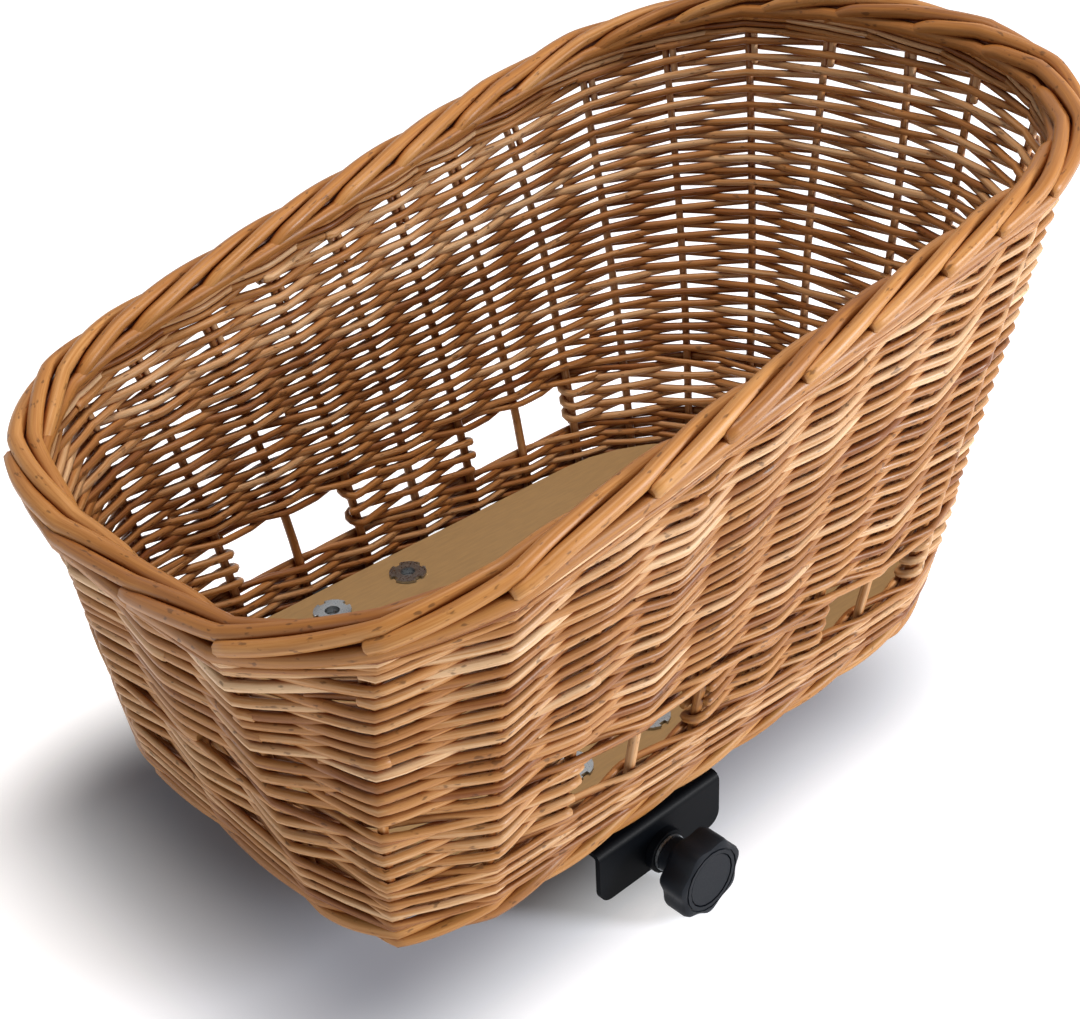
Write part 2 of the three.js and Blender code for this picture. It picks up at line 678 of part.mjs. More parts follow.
addPiece(
  basket,
  'rim_border',
  borderRing(rimHeight, RIM_BORDER_WIDTH, RIM_BORDER_HEIGHT),
  WILLOW_BORDER,
);

// Bare stake in the middle of each window, following the slant of the wall
function windowStake(parameter) {
  const foot = wallPoint(parameter, WINDOW_BOTTOM, 0);
  const head = wallPoint(parameter, WINDOW_TOP, 0);
  const slant = new THREE.Matrix4().makeShear(
    0, 0, 0, 0,
    (head.x - foot.x) / WINDOW_HEIGHT,
    (head.y - foot.y) / WINDOW_HEIGHT,
  );
  const stake = alongZ(rod(STAKE_DIAMETER / 2, 0, WINDOW_HEIGHT), 0, 0);
  return closed(stake.applyMatrix4(slant).translate(foot.x, foot.y, foot.z));
}

for (const [end, x] of [['front', FRONT_WINDOW_X], ['rear', REAR_WINDOW_X]]) {
  const parameter = sideParameter(x, WINDOW_MIDDLE);
  addPiece(basket, `window_stake_${end}_left`, windowStake(parameter), WILLOW);
  addPiece(basket, `window_stake_${end}_right`, windowStake(-parameter), WILLOW);
}

// Rail clamp: drawn for the right side about X = 0, with distances outwards along -Y
const BOLT_BORE = BOLT_DIAMETER / 2 + SCREW_CLEARANCE;

function screwHoles(bottom, top) {
  return [-0.5, 0.5].map((step) => screwHole(step * NUT_PITCH_X, -NUT_Y, bottom, top));
}

function plateAlongY(shape, from, to) {
  return new THREE.ExtrudeGeometry(shape, {
    depth: to - from,
    bevelEnabled: false,
    curveSegments: CORNER_STEPS,
  }).applyMatrix4(OUTLINE_ALONG_Y).translate(0, -from, 0);
}

function bracket() {
  const inner = SHELF_DEPTH - FLANGE_OUTER_Y;
  const outer = -FLANGE_OUTER_Y;
  const bottom = SHELF_TOP - FLANGE_HEIGHT;
  const innerBend = BEND_RADIUS - STEEL_THICKNESS;
  const profile = new THREE.Shape();
  profile.moveTo(inner, SHELF_TOP);
  profile.lineTo(outer + BEND_RADIUS, SHELF_TOP);
  const bendZ = SHELF_TOP - BEND_RADIUS;
  profile.absarc(outer + BEND_RADIUS, bendZ, BEND_RADIUS, Math.PI / 2, Math.PI, false);
  profile.lineTo(outer, bottom);
  profile.lineTo(outer + STEEL_THICKNESS, bottom);
  profile.lineTo(outer + STEEL_THICKNESS, bendZ);
  profile.absarc(outer + BEND_RADIUS, bendZ, innerBend, Math.PI, Math.PI / 2, true);
  profile.lineTo(inner, SEAT_Z);
  profile.closePath();
  const angle = new THREE.ExtrudeGeometry(profile, {
    depth: BRACKET_LENGTH,
    bevelEnabled: false,
    curveSegments: BEND_STEPS,
  }).applyMatrix4(PROFILE_ALONG_X).translate(-BRACKET_LENGTH / 2, 0, 0);

  const end = BRACKET_LENGTH / 2;
  const top = SHELF_TOP + CUT_OVERSHOOT;
  const face = new THREE.Shape();
  face.moveTo(-end, top);
  const cornerZ = bottom + FLANGE_CORNER;
  face.lineTo(-end, cornerZ);
  face.absarc(FLANGE_CORNER - end, cornerZ, FLANGE_CORNER, Math.PI, Math.PI * 1.5, false);
  face.absarc(end - FLANGE_CORNER, cornerZ, FLANGE_CORNER, -Math.PI / 2, 0, false);
  face.lineTo(end, top);
  face.closePath();
  const trim = plateAlongY(face, -inner - CUT_OVERSHOOT, FLANGE_OUTER_Y + CUT_OVERSHOOT);
  const axisHole = rod(BOLT_BORE, FLANGE_INNER_Y - CUT_OVERSHOOT, FLANGE_OUTER_Y + CUT_OVERSHOOT);
  const holes = [alongOutwardAxis(axisHole), ...screwHoles(SEAT_Z, SHELF_TOP)];
  const trimmed = solid(angle).intersect(solid(trim));
  return surfaceOf(holes.reduce((body, hole) => body.subtract(solid(hole)), trimmed));
}

function packing() {
  const low = [-BRACKET_LENGTH / 2, -NUT_Y - PACKING_WIDTH / 2, FOOT_BOTTOM];
  const high = [BRACKET_LENGTH / 2, -NUT_Y + PACKING_WIDTH / 2, PACKING_TOP];
  return shaped(block(low, high), [], screwHoles(FOOT_BOTTOM, PACKING_TOP));
}

const PLATE_TOP = SEAT_Z - SEAT_GAP;

// Plate with short ends and a round lobe below for the clamp screw's square neck
function clampPlate() {
  const end = PLATE_LENGTH / 2;
  const low = PLATE_TOP - PLATE_END_HEIGHT;
  const shape = new THREE.Shape();
  shape.moveTo(end, PLATE_TOP);
  shape.lineTo(-end, PLATE_TOP);
  const cornerX = end - PLATE_END_CORNER;
  const cornerZ = low + PLATE_END_CORNER;
  shape.lineTo(-end, cornerZ);
  shape.absarc(-cornerX, cornerZ, PLATE_END_CORNER, Math.PI, Math.PI * 1.5, false);
  shape.lineTo(-PLATE_LOBE_RADIUS, low);
  shape.absarc(0, AXIS_Z, PLATE_LOBE_RADIUS, Math.PI, Math.PI * 2, false);
  shape.lineTo(PLATE_LOBE_RADIUS, low);
  shape.lineTo(cornerX, low);
  shape.absarc(cornerX, cornerZ, PLATE_END_CORNER, -Math.PI / 2, 0, false);
  shape.closePath();
  const neck = BOLT_DIAMETER / 2 + SLOT_CLEARANCE;
  const hole = block(
    [-neck, -PLATE_OUTER_Y - CUT_OVERSHOOT, AXIS_Z - neck],
    [neck, -PLATE_INNER_Y + CUT_OVERSHOOT, AXIS_Z + neck],
  );
  return shaped(plateAlongY(shape, PLATE_INNER_Y, PLATE_OUTER_Y), [], [hole]);
}

function clampPad() {
  const high = PLATE_TOP - SEAT_GAP;
  return closed(block(
    [-PAD_LENGTH / 2, -PAD_OUTER_Y, high - PAD_HEIGHT],
    [PAD_LENGTH / 2, -PAD_INNER_Y, high],
  ));
}

// Round-headed bolt with a square neck, its head behind the plate and its end in the knob
function clampBolt() {
  const radius = BOLT_DIAMETER / 2;
  const domeHeight = BOLT_HEAD_HEIGHT - BOLT_HEAD_EDGE;
  const dome = [];
  for (let i = 0; i <= DOME_STEPS; i += 1) {
    const angle = ((i / DOME_STEPS) * Math.PI) / 2;
    dome.push([
      (BOLT_HEAD_DIAMETER / 2) * Math.sin(angle),
      BOLT_HEAD_Y - BOLT_HEAD_EDGE - domeHeight * Math.cos(angle),
    ]);
  }
  const body = alongOutwardAxis(turned([
    ...dome,
    [BOLT_HEAD_DIAMETER / 2, BOLT_HEAD_Y],
    [radius, BOLT_HEAD_Y],
    [radius, BOLT_END_Y - BOLT_TIP_CHAMFER],
    [radius - BOLT_TIP_CHAMFER, BOLT_END_Y],
    [0, BOLT_END_Y],
  ]));
  const neck = block(
    [-radius, -PLATE_OUTER_Y, AXIS_Z - radius],
    [radius, BOLT_HEAD_EDGE - BOLT_HEAD_Y, AXIS_Z + radius],
  );
  return shaped(body, [neck], []);
}

// Lobed knob head on a round neck and hub, bored for the bolt and recessed for its cap
function knob() {
  const points = [];
  const steps = KNOB_LOBES * LOBE_STEPS;
  for (let i = 0; i < steps; i += 1) {
    const angle = (i / steps) * Math.PI * 2 - Math.PI / 2;
    const dip = (1 - Math.cos(KNOB_LOBES * (angle + Math.PI / 2))) / 2;
    const radius = KNOB_DIAMETER / 2 - KNOB_SCALLOP * dip;
    points.push(new THREE.Vector2(radius * Math.cos(angle), radius * Math.sin(angle)));
  }
  const head = new THREE.ExtrudeGeometry(new THREE.Shape(points), {
    depth: KNOB_HEAD_LENGTH - 2 * KNOB_EDGE,
    bevelEnabled: true,
    bevelThickness: KNOB_EDGE,
    bevelSize: KNOB_EDGE,
    bevelOffset: -KNOB_EDGE,
    bevelSegments: EDGE_STEPS,
  }).applyMatrix4(OUTLINE_ALONG_Y).translate(0, -HEAD_Y - KNOB_EDGE, AXIS_Z);
  const neck = alongOutwardAxis(turned([
    [0, HUB_Y],
    [KNOB_HUB_DIAMETER / 2, HUB_Y],
    [KNOB_HUB_DIAMETER / 2, NECK_Y],
    [KNOB_NECK_DIAMETER / 2, HEAD_Y],
    [KNOB_NECK_DIAMETER / 2, HEAD_Y + KNOB_EDGE],
    [0, HEAD_Y + KNOB_EDGE],
  ]));
  const insertRadius = INSERT_DIAMETER / 2 + SLOT_CLEARANCE;
  const pocket = rod(insertRadius, HUB_Y - CUT_OVERSHOOT, HUB_Y + INSERT_LENGTH + SEAT_GAP);
  const bore = rod(BOLT_BORE, HUB_Y - CUT_OVERSHOOT, BORE_END_Y);
  const recessFloor = FACE_Y - CAP_RECESS;
  const recess = rod(CAP_DIAMETER / 2 + SLOT_CLEARANCE, recessFloor, FACE_Y + CUT_OVERSHOOT);
  const groove = sleeve(
    (FACE_GROOVE_DIAMETER - FACE_GROOVE_WIDTH) / 2,
    (FACE_GROOVE_DIAMETER + FACE_GROOVE_WIDTH) / 2,
    FACE_Y - FACE_GROOVE_DEPTH,
    FACE_Y + CUT_OVERSHOOT,
  );
  return shaped(head, [neck], [pocket, bore, recess, groove].map(alongOutwardAxis));
}

function knobCap() {
  const inner = FACE_Y - CAP_RECESS + SEAT_GAP;
  const radius = CAP_DIAMETER / 2;
  return closed(alongOutwardAxis(turned([
    [0, inner],
    [radius, inner],
    [radius, inner + CAP_THICKNESS - CAP_CHAMFER],
    [radius - CAP_CHAMFER, inner + CAP_THICKNESS],
    [0, inner + CAP_THICKNESS],
  ])));
}

function addClamp(side, turn) {
  const clamp = new THREE.Group();
  clamp.position.x = NUT_MIDDLE_X;
  clamp.rotation.z = turn;
  const boss = sleeve(BOLT_BORE, BOSS_DIAMETER / 2, BOSS_INNER_Y, BOSS_OUTER_Y);
  const washerRadius = KNOB_WASHER_DIAMETER / 2;
  const washer = sleeve(BOLT_BORE, washerRadius, KNOB_WASHER_INNER_Y, KNOB_WASHER_OUTER_Y);
  const insert = sleeve(BOLT_BORE, INSERT_DIAMETER / 2, HUB_Y, HUB_Y + INSERT_LENGTH);
  addPiece(clamp, `clamp_bracket_${side}`, bracket(), BLACK_STEEL);
  addPiece(clamp, `packing_block_${side}`, packing(), PACKING_WOOD);
  addPiece(clamp, `bracket_boss_${side}`, closed(alongOutwardAxis(boss)), BLACK_STEEL);
  addPiece(clamp, `knob_washer_${side}`, closed(alongOutwardAxis(washer)), ZINC_STEEL);
  addPiece(clamp, `clamp_plate_${side}`, clampPlate(), BLACK_STEEL);
  addPiece(clamp, `clamp_pad_${side}`, clampPad(), BLACK_RUBBER);
  addPiece(clamp, `clamp_bolt_${side}`, clampBolt(), ZINC_STEEL);
  addPiece(clamp, `knob_${side}`, knob(), BLACK_PLASTIC);
  addPiece(clamp, `knob_cap_${side}`, knobCap(), BLACK_PLASTIC);
  addPiece(clamp, `knob_insert_${side}`, closed(alongOutwardAxis(insert)), BRASS);
  basket.add(clamp);
}

addClamp('right', 0);
addClamp('left', Math.PI);

export default basket;
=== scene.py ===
import json
import math

import bpy
import numpy as np
from mathutils import Matrix, Vector


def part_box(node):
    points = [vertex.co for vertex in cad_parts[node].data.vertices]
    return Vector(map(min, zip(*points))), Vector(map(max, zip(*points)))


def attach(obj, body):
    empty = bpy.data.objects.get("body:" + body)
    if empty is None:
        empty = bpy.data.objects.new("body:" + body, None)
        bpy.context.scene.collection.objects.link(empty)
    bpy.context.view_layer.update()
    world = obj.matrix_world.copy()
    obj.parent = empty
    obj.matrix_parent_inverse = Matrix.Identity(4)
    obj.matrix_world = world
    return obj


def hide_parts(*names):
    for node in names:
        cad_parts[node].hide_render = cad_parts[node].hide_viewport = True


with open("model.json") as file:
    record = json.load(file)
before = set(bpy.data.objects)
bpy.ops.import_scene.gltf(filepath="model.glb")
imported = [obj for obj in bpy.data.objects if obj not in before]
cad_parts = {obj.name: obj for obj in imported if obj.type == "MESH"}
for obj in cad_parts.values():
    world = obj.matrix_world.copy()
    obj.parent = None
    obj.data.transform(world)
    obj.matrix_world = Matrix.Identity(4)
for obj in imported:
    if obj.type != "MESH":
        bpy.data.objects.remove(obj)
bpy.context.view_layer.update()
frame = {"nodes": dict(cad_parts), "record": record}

bl_info = {
    "name": "Willow Dog Basket",
    "version": (1, 0, 0),
    "blender": (4, 5, 0),
    "location": "View3D > Sidebar > Basket",
    "description": "Woven willow bicycle basket for a dog, with its rail clamps",
    "category": "Add Mesh",
}

MM = 0.001
PHOTO_WIDTH = 1080
SEED = 7
SIDES = ("right", "left")
BASKET_BODY = "basket"


def linear(hex_colour):
    """Linear RGB of an sRGB hex colour."""
    parts = [int(hex_colour[i : i + 2], 16) / 255 for i in (1, 3, 5)]
    return tuple(c / 12.92 if c <= 0.04045 else ((c + 0.055) / 1.055) ** 2.4 for c in parts)


def length(name, description, millimetres):
    return bpy.props.FloatProperty(
        name=name,
        description=description,
        default=millimetres * MM,
        unit="LENGTH",
        subtype="DISTANCE",
        precision=4,
    )


def ratio(name, description, default):
    return bpy.props.FloatProperty(
        name=name, description=description, default=default, precision=3
    )


def angle(name, description, degrees):
    return bpy.props.FloatProperty(
        name=name,
        description=description,
        default=math.radians(degrees),
        unit="ROTATION",
        subtype="ANGLE",
    )


def colour(name, description, hex_colour):
    return bpy.props.FloatVectorProperty(
        name=name,
        description=description,
        subtype="COLOR",
        size=3,
        min=0.0,
        max=1.0,
        default=linear(hex_colour),
    )


class BasketWallSizes(bpy.types.PropertyGroup):
    """Shape of the wall's middle surface, the same as the solids have"""

    foot_height: length("Foot height", "Height of the foot border's centre line", 53)
    foot_half_width: length("Foot half width", "Half the width at the foot", 126)
    foot_front: length("Foot front", "From the middle to the front at the foot", 226)
    foot_back: length("Foot back", "From the middle to the back at the foot", 220)
    foot_front_corner: length("Front corner", "Front corner radius at the foot", 46)
    foot_back_corner: length("Back corner", "Back corner radius at the foot", 112)
    side_flare: ratio("Side flare", "Widening of each side for each unit of height", 0.17)
    front_flare: ratio("Front flare", "Lean of the front for each unit of height", 0.168)
    back_flare: ratio("Back flare", "Lean of the back for each unit of height", 0.112)
    front_corner_growth: ratio("Front corner growth", "Growth of the front corners with height", 0.26)
    back_corner_growth: ratio("Back corner growth", "Growth of the back corners with height", -0.02)
    rim_middle_height: length("Rim height", "Height of the rim's centre line at the middle", 283)
    rim_slope: ratio("Rim slope", "Climb of the rim towards the back", 0.206)
    rim_front_dip: length("Front dip", "Extra dip of the rim at the front", 20)
    rim_back_rise: length("Back rise", "Extra rise of the rim at the back", 15)
    window_bottom: length("Window sill", "Height of the windows' lower edge", 89.5)
    window_top: length("Window head", "Height of the windows' upper edge", 118.5)
    window_width: length("Window width", "Width of a window along the side", 75)
    front_window_x: length("Front window", "Middle of the front windows along X", -90)
    rear_window_x: length("Rear window", "Middle of the rear windows along X", 85)


class BasketRodSizes(bpy.types.PropertyGroup):
    """Thickness and spacing of the willow rods"""

    stake: length("Stake", "Diameter of an upright stake at its foot", 5.4)
    weaver: length("Weaver", "Diameter of a weaver in the wall", 4.6)
    wale: length("Wale", "Diameter of a rod in the twisted bands", 4.0)
    rim_wale: length("Rim wale", "Diameter of a rod in the bands under the rim", 3.5)
    rim_rod: length("Rim rod", "Diameter of a rod in the rim's border", 7.8)
    foot_rod: length("Foot rod", "Diameter of a rod in the foot's border", 6.6)
    course: length("Course", "Height of four rounds of weaving at the middle of a side", 27.7)
    pier_pitch: length("Pier pitch", "Height of one row between the windows", 3.9)
    fan: ratio("Fan", "Share of the rim's slope that the top rows take up", 0.86)


class BasketFinishes(bpy.types.PropertyGroup):
    """Colours of the materials"""

    willow_light: colour("Willow light", "Palest rods of the wall", "#D7B892")
    willow_mid: colour("Willow middle", "Common colour of the rods", "#A87644")
    willow_dark: colour("Willow dark", "Darkest rods of the wall", "#74421C")
    border_light: colour("Border light", "Palest rods of the borders", "#C79861")
    border_mid: colour("Border middle", "Common colour of the border rods", "#A26F3A")
    border_dark: colour("Border dark", "Darkest rods of the borders", "#7A4A22")
    pith: colour("Pith", "Cut ends of the rods", "#9A6C3C")
    # Tint of the painted shade that darkens the gaps between rods
    painted_gap_shade: colour("Painted gap shade", "Tint of the stain in the gaps between rods", "#B4713F")
    plywood: colour("Plywood", "Face of the floor board", "#9E8660")
    softwood: colour("Softwood", "Packing blocks", "#C6A473")
    coat: colour("Powder coat", "Steel angle, boss and plate", "#04060A")
    zinc: colour("Zinc", "Tee nuts, screws and washers", "#A3A8AC")
    plastic: colour("Plastic", "Knobs and their caps", "#0C1118")
    rubber: colour("Rubber", "Pads of the clamps", "#0A0A0A")
    brass: colour("Brass", "Inserts of the knobs", "#B8954F")


class BasketView(bpy.types.PropertyGroup):
    """Camera at the photograph's viewing angle"""

    eye: bpy.props.FloatVectorProperty(
        name="Eye",
        description="Place of the camera",
        subtype="TRANSLATION",
        unit="LENGTH",
        default=(-509.7 * MM, -555.7 * MM, 586.5 * MM),
    )
    azimuth: angle("Azimuth", "Direction of the view about Z", -41.37)
    elevation: angle("Elevation", "Height of the view above the horizon", 30.82)
    roll: angle("Roll", "Tilt of the camera about its own axis", -3.14)
    focal_pixels: ratio("Focal length", "Focal length in pixels of the photograph", 1626.0)


# Stakes: one in the middle of the front and fourteen on each side
SIDE_STAKES = 14
STAKES = 2 * SIDE_STAKES + 1
# Half the wall's round, in the places that Wall.point counts
HALF_ROUND = 5.0
# Places of the three stakes of a front corner, at the foot and at the rim
FRONT_CORNER_STAKES = ((0.88, 0.95), (1.45, 1.47), (2.02, 1.82))
LAST_SIDE_STAKE = 10
FIRST_SIDE_STAKE_AT_RIM = 2.08
SIDE_STAKE_STEP_AT_RIM = 0.15
WINDOW_EDGE_TO_STAKE = 7 * MM
STAKE_TWIST = -0.085
RIM_PASSES = 12
RIM_END_POWER = 3
RIM_MIDDLE_POWER = 1.5
# Shares of its height between which a stake's lean is followed, below the foot and above the rim
STAKE_REACH = (-0.2, 1.1)


def round_the_wall(values, s):
    """Values given at each stake, read at places counted in stakes."""
    return np.interp(np.asarray(s) % STAKES, np.arange(STAKES + 1), np.append(values, values[0]))


class Wall:
    """Middle surface of the wall, with the stakes that stand in it"""

    def __init__(self, sizes):
        self.sizes = sizes
        self.foot = sizes.foot_height
        self.place_stakes()

    def section(self, z, offset):
        p = self.sizes
        rise = z - self.foot
        half = p.foot_half_width + p.side_flare * rise + offset
        front = p.foot_front + p.front_flare * rise + offset
        back = p.foot_back + p.back_flare * rise + offset
        front_corner = p.foot_front_corner + p.front_corner_growth * rise + offset
        back_corner = p.foot_back_corner + p.back_corner_growth * rise + offset
        return half, front, back, front_corner, back_corner

    def point(self, place, z, offset=0.0):
        """Points at places round the wall: 0 to 1 is half the front, then front corner, side,
        back corner and half the back; negative places are the right side."""
        place, z = np.broadcast_arrays(np.asarray(place, float), np.asarray(z, float))
        half, front, back, front_corner, back_corner = self.section(z, offset)
        part = np.abs(place)
        turn = (part % 1) * math.pi / 2
        start = front_corner - front
        end = back - back_corner
        bands = [part < 1, part < 2, part <= 3, part < 4]
        x = np.select(
            bands,
            [
                -front,
                start - front_corner * np.cos(turn),
                start + (end - start) * (part - 2),
                end + back_corner * np.sin(turn),
            ],
            back,
        )
        y = np.select(
            bands,
            [
                part * (half - front_corner),
                half - front_corner + front_corner * np.sin(turn),
                half,
                half - back_corner + back_corner * np.cos(turn),
            ],
            (HALF_ROUND - part) * (half - back_corner),
        )
        return np.stack([x, np.sign(place) * y, z], axis=-1)

    def normal(self, place, z):
        out = self.point(place, z, MM) - self.point(place, z, -MM)
        return out / np.linalg.norm(out, axis=-1, keepdims=True)

    def rim_height(self, place):
        p = self.sizes
        z = np.full(np.shape(place), p.rim_middle_height)
        for _ in range(RIM_PASSES):
            x, y, _z = np.moveaxis(self.point(place, z), -1, 0)
            half, front, back, _, _ = self.section(z, 0.0)
            middle = np.maximum(0, 1 - (y / half) ** 2) ** RIM_MIDDLE_POWER
            end = np.abs(x / np.where(x < 0, front, back)) ** RIM_END_POWER
            bow = np.where(x < 0, -p.rim_front_dip, p.rim_back_rise) * middle * end
            z = p.rim_middle_height + p.rim_slope * x + bow
        return z

    def distances(self, z):
        """Distances along one side from the middle of the front to the ends of its five parts."""
        half, front, back, front_corner, back_corner = self.section(z, 0.0)
        straight = front + back - front_corner - back_corner
        arcs = (front_corner * math.pi / 2, straight, back_corner * math.pi / 2)
        return np.cumsum([0, half - front_corner, *arcs, half - back_corner])

    def spread_to_back(self, last, z):
        """Places evenly spread from the last side stake to the middle of the back."""
        marks = self.distances(z)
        first = np.interp(last, range(6), marks)
        count = SIDE_STAKES - LAST_SIDE_STAKE
        step = (marks[-1] - first) / (count + 0.5)
        return np.interp(first + step * np.arange(1, count + 1), marks, range(6))

    def place_stakes(self):
        p = self.sizes
        middle = (p.window_bottom + p.window_top) / 2
        reach = p.window_width / 2 + WINDOW_EDGE_TO_STAKE
        front_x, rear_x = p.front_window_x, p.rear_window_x
        between = (front_x + rear_x) / 2
        side_x = [front_x - reach, front_x, front_x + reach, between]
        side_x += [rear_x - reach, rear_x, rear_x + reach]
        half, front, back, front_corner, back_corner = self.section(middle, 0.0)
        start, end = front_corner - front, back - back_corner
        at_window = [
            2 + (x - start) / (end - start)
            if x < end
            else 3 + math.asin((x - end) / back_corner) / (math.pi / 2)
            for x in side_x
        ]
        rim = FIRST_SIDE_STAKE_AT_RIM + SIDE_STAKE_STEP_AT_RIM * np.arange(len(side_x))
        share = (middle - self.foot) / (self.rim_height(rim) - self.foot)
        foot = (np.array(at_window) - rim * share) / (1 - share)
        corner_foot, corner_rim = np.array(FRONT_CORNER_STAKES).T
        top = float(self.rim_height(np.array(HALF_ROUND)))
        foot_side = np.concatenate([corner_foot, foot, self.spread_to_back(foot[-1], self.foot)])
        rim_side = np.concatenate([corner_rim, rim, self.spread_to_back(rim[-1], top)])
        self.foot_place = np.concatenate([[0], foot_side, -foot_side[::-1]])
        self.rim_place = np.concatenate([[0], rim_side, -rim_side[::-1]])
        self.rim_z = self.rim_height(self.rim_place + STAKE_TWIST)

    def stake_place(self, stake, z):
        share = np.clip((z - self.foot) / (self.rim_z[stake] - self.foot), *STAKE_REACH)
        lean = self.rim_place[stake] - self.foot_place[stake]
        return self.foot_place[stake] + lean * share + STAKE_TWIST * share * np.abs(share)

    def rim_at(self, s):
        """Height of the rim at places counted in stakes."""
        return round_the_wall(self.rim_z, s)

    def at(self, s, z, out, straight=1.0):
        """Points at places counted in stakes, moved outwards. A rod pulled tight runs straight from
        stake to stake; a stiff one follows the curve of the wall."""
        s, z, out = np.broadcast_arrays(*(np.asarray(part, float) for part in (s, z, out)))
        first = np.floor(s).astype(int) % STAKES
        second = (first + 1) % STAKES
        share = s - np.floor(s)
        u, v = self.stake_place(first, z), self.stake_place(second, z)
        round_v = np.where(v < u, v + 2 * HALF_ROUND, v)
        curve = u + (round_v - u) * share
        curve = np.where(curve > HALF_ROUND, curve - 2 * HALF_ROUND, curve)
        share = share[..., None]
        chord = self.point(u, z) * (1 - share) + self.point(v, z) * share
        spot = chord * straight + self.point(curve, z) * (1 - straight)
        normal = self.normal(u, z) * (1 - share) + self.normal(v, z) * share
        normal /= np.linalg.norm(normal, axis=-1, keepdims=True)
        return spot + normal * out[..., None]


ROD_SIDES = 8
END_BEVEL = 0.35
# Share of the cut end's colour on its bevel
BEVEL_CUT = 0.6
MIDDLE_TONE = 0.5
TONE_SPREAD = 0.16
BORDER_TONE_SPREAD = 0.11
THICKNESS_SPREAD = 0.05
# Each rod has its own stretch of the grain, which starts within this many metres
GRAIN_LENGTH = 10.0
# A direction that no rod takes, from which the first ring of its mesh is turned
OFF_ROD = (0.31, 0.2, 0.93)


class Rods:
    """Willow rods gathered into one mesh, with what their material needs to know"""

    def __init__(self, rng, spread=TONE_SPREAD):
        self.rng = rng
        self.spread = spread
        self.points, self.faces = [], []
        self.tones, self.grains, self.cuts = [], [], []
        self.count = 0

    def add(self, path, radius, tone=None):
        path = np.asarray(path)
        radius = np.broadcast_to(np.asarray(radius, float), len(path))
        if tone is None:
            tone = MIDDLE_TONE + self.spread * self.rng.standard_normal()
        tangent = np.gradient(path, axis=0)
        tangent /= np.linalg.norm(tangent, axis=1, keepdims=True)
        side = np.empty_like(path)
        across = np.cross(tangent[0], OFF_ROD)
        for i, way in enumerate(tangent):
            across = across - way * (across @ way)
            across /= np.linalg.norm(across)
            side[i] = across
        up = np.cross(tangent, side)
        along = np.concatenate([[0], np.cumsum(np.linalg.norm(np.diff(path, axis=0), axis=1))])
        turn = np.arange(ROD_SIDES) * 2 * math.pi / ROD_SIDES
        ring = side[:, None] * np.cos(turn)[:, None] + up[:, None] * np.sin(turn)[:, None]
        skin = path[:, None] + ring * radius[:, None, None]
        start = self.rng.random() * GRAIN_LENGTH
        grain = np.empty(skin.shape)
        grain[..., 0] = (along + start)[:, None]
        grain[..., 1] = radius[:, None] * np.cos(turn) + start
        grain[..., 2] = radius[:, None] * np.sin(turn)
        self.keep(skin.reshape(-1, 3), tone, grain.reshape(-1, 3), 0.0)
        base = self.count - skin.shape[0] * ROD_SIDES
        for i in range(len(path) - 1):
            a = base + i * ROD_SIDES
            for j in range(ROD_SIDES):
                k = (j + 1) % ROD_SIDES
                self.faces.append((a + j, a + k, a + k + ROD_SIDES, a + j + ROD_SIDES))
        for i, way in ((0, -1), (len(path) - 1, 1)):
            edge = base + i * ROD_SIDES
            self.cap(edge, skin[i], path[i], tangent[i] * way, radius[i], tone, grain[i], way)

    def cap(self, edge, rim, middle, outwards, radius, tone, grain, way):
        """Blunt cut end with a small bevel."""
        inner = middle + (rim - middle) * (1 - END_BEVEL) + outwards * radius * END_BEVEL
        self.keep(inner, tone, grain, BEVEL_CUT)
        face = self.count - ROD_SIDES
        self.keep(inner, tone, grain, 1.0)
        flat = self.count - ROD_SIDES
        for j in range(ROD_SIDES):
            k = (j + 1) % ROD_SIDES
            quad = (edge + j, edge + k, face + k, face + j)
            self.faces.append(quad if way > 0 else quad[::-1])
        loop = tuple(range(flat, flat + ROD_SIDES))
        self.faces.append(loop if way > 0 else loop[::-1])

    def keep(self, points, tone, grain, cut):
        self.points.append(points)
        self.tones.append(np.full(len(points), tone))
        self.grains.append(grain)
        self.cuts.append(np.full(len(points), cut))
        self.count += len(points)

    def build(self, name, material, slot, *nodes):
        """The piece that rides on the basket and shows in place of its nodes."""
        mesh = bpy.data.meshes.new(name)
        mesh.from_pydata(np.concatenate(self.points).tolist(), [], self.faces)
        mesh.shade_smooth()
        for key, kind, field, values in (
            ("tone", "FLOAT", "value", np.concatenate(self.tones)),
            ("cut", "FLOAT", "value", np.concatenate(self.cuts)),
            ("grain", "FLOAT_VECTOR", "vector", np.concatenate(self.grains)),
        ):
            attribute = mesh.attributes.new(key, kind, "POINT")
            attribute.data.foreach_set(field, np.ascontiguousarray(values, np.float32).ravel())
        mesh.materials.append(material)
        piece = bpy.data.objects.new(name, mesh)
        bpy.context.scene.collection.objects.link(piece)
        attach(piece, BASKET_BODY)
        if nodes:
            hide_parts(*nodes)


def add_node(tree, kind, inputs=None, **settings):
    """A shader node with its settings, each input given a value or a link."""
    made = tree.nodes.new(kind)
    for key, value in settings.items():
        setattr(made, key, value)
    for key, value in (inputs or {}).items():
        if isinstance(value, bpy.types.NodeSocket):
            tree.links.new(value, made.inputs[key])
        else:
            made.inputs[key].default_value = value
    return made


def new_material(name):
    """A material with only a Principled shader, and that shader."""
    material = bpy.data.materials.new(name)
    material.use_nodes = True
    tree = material.node_tree
    tree.nodes.clear()
    shader = add_node(tree, "ShaderNodeBsdfPrincipled")
    add_node(tree, "ShaderNodeOutputMaterial", {"Surface": shader.outputs["BSDF"]})
    return material, tree, shader


def opaque(rgb):
    return (*rgb, 1.0)


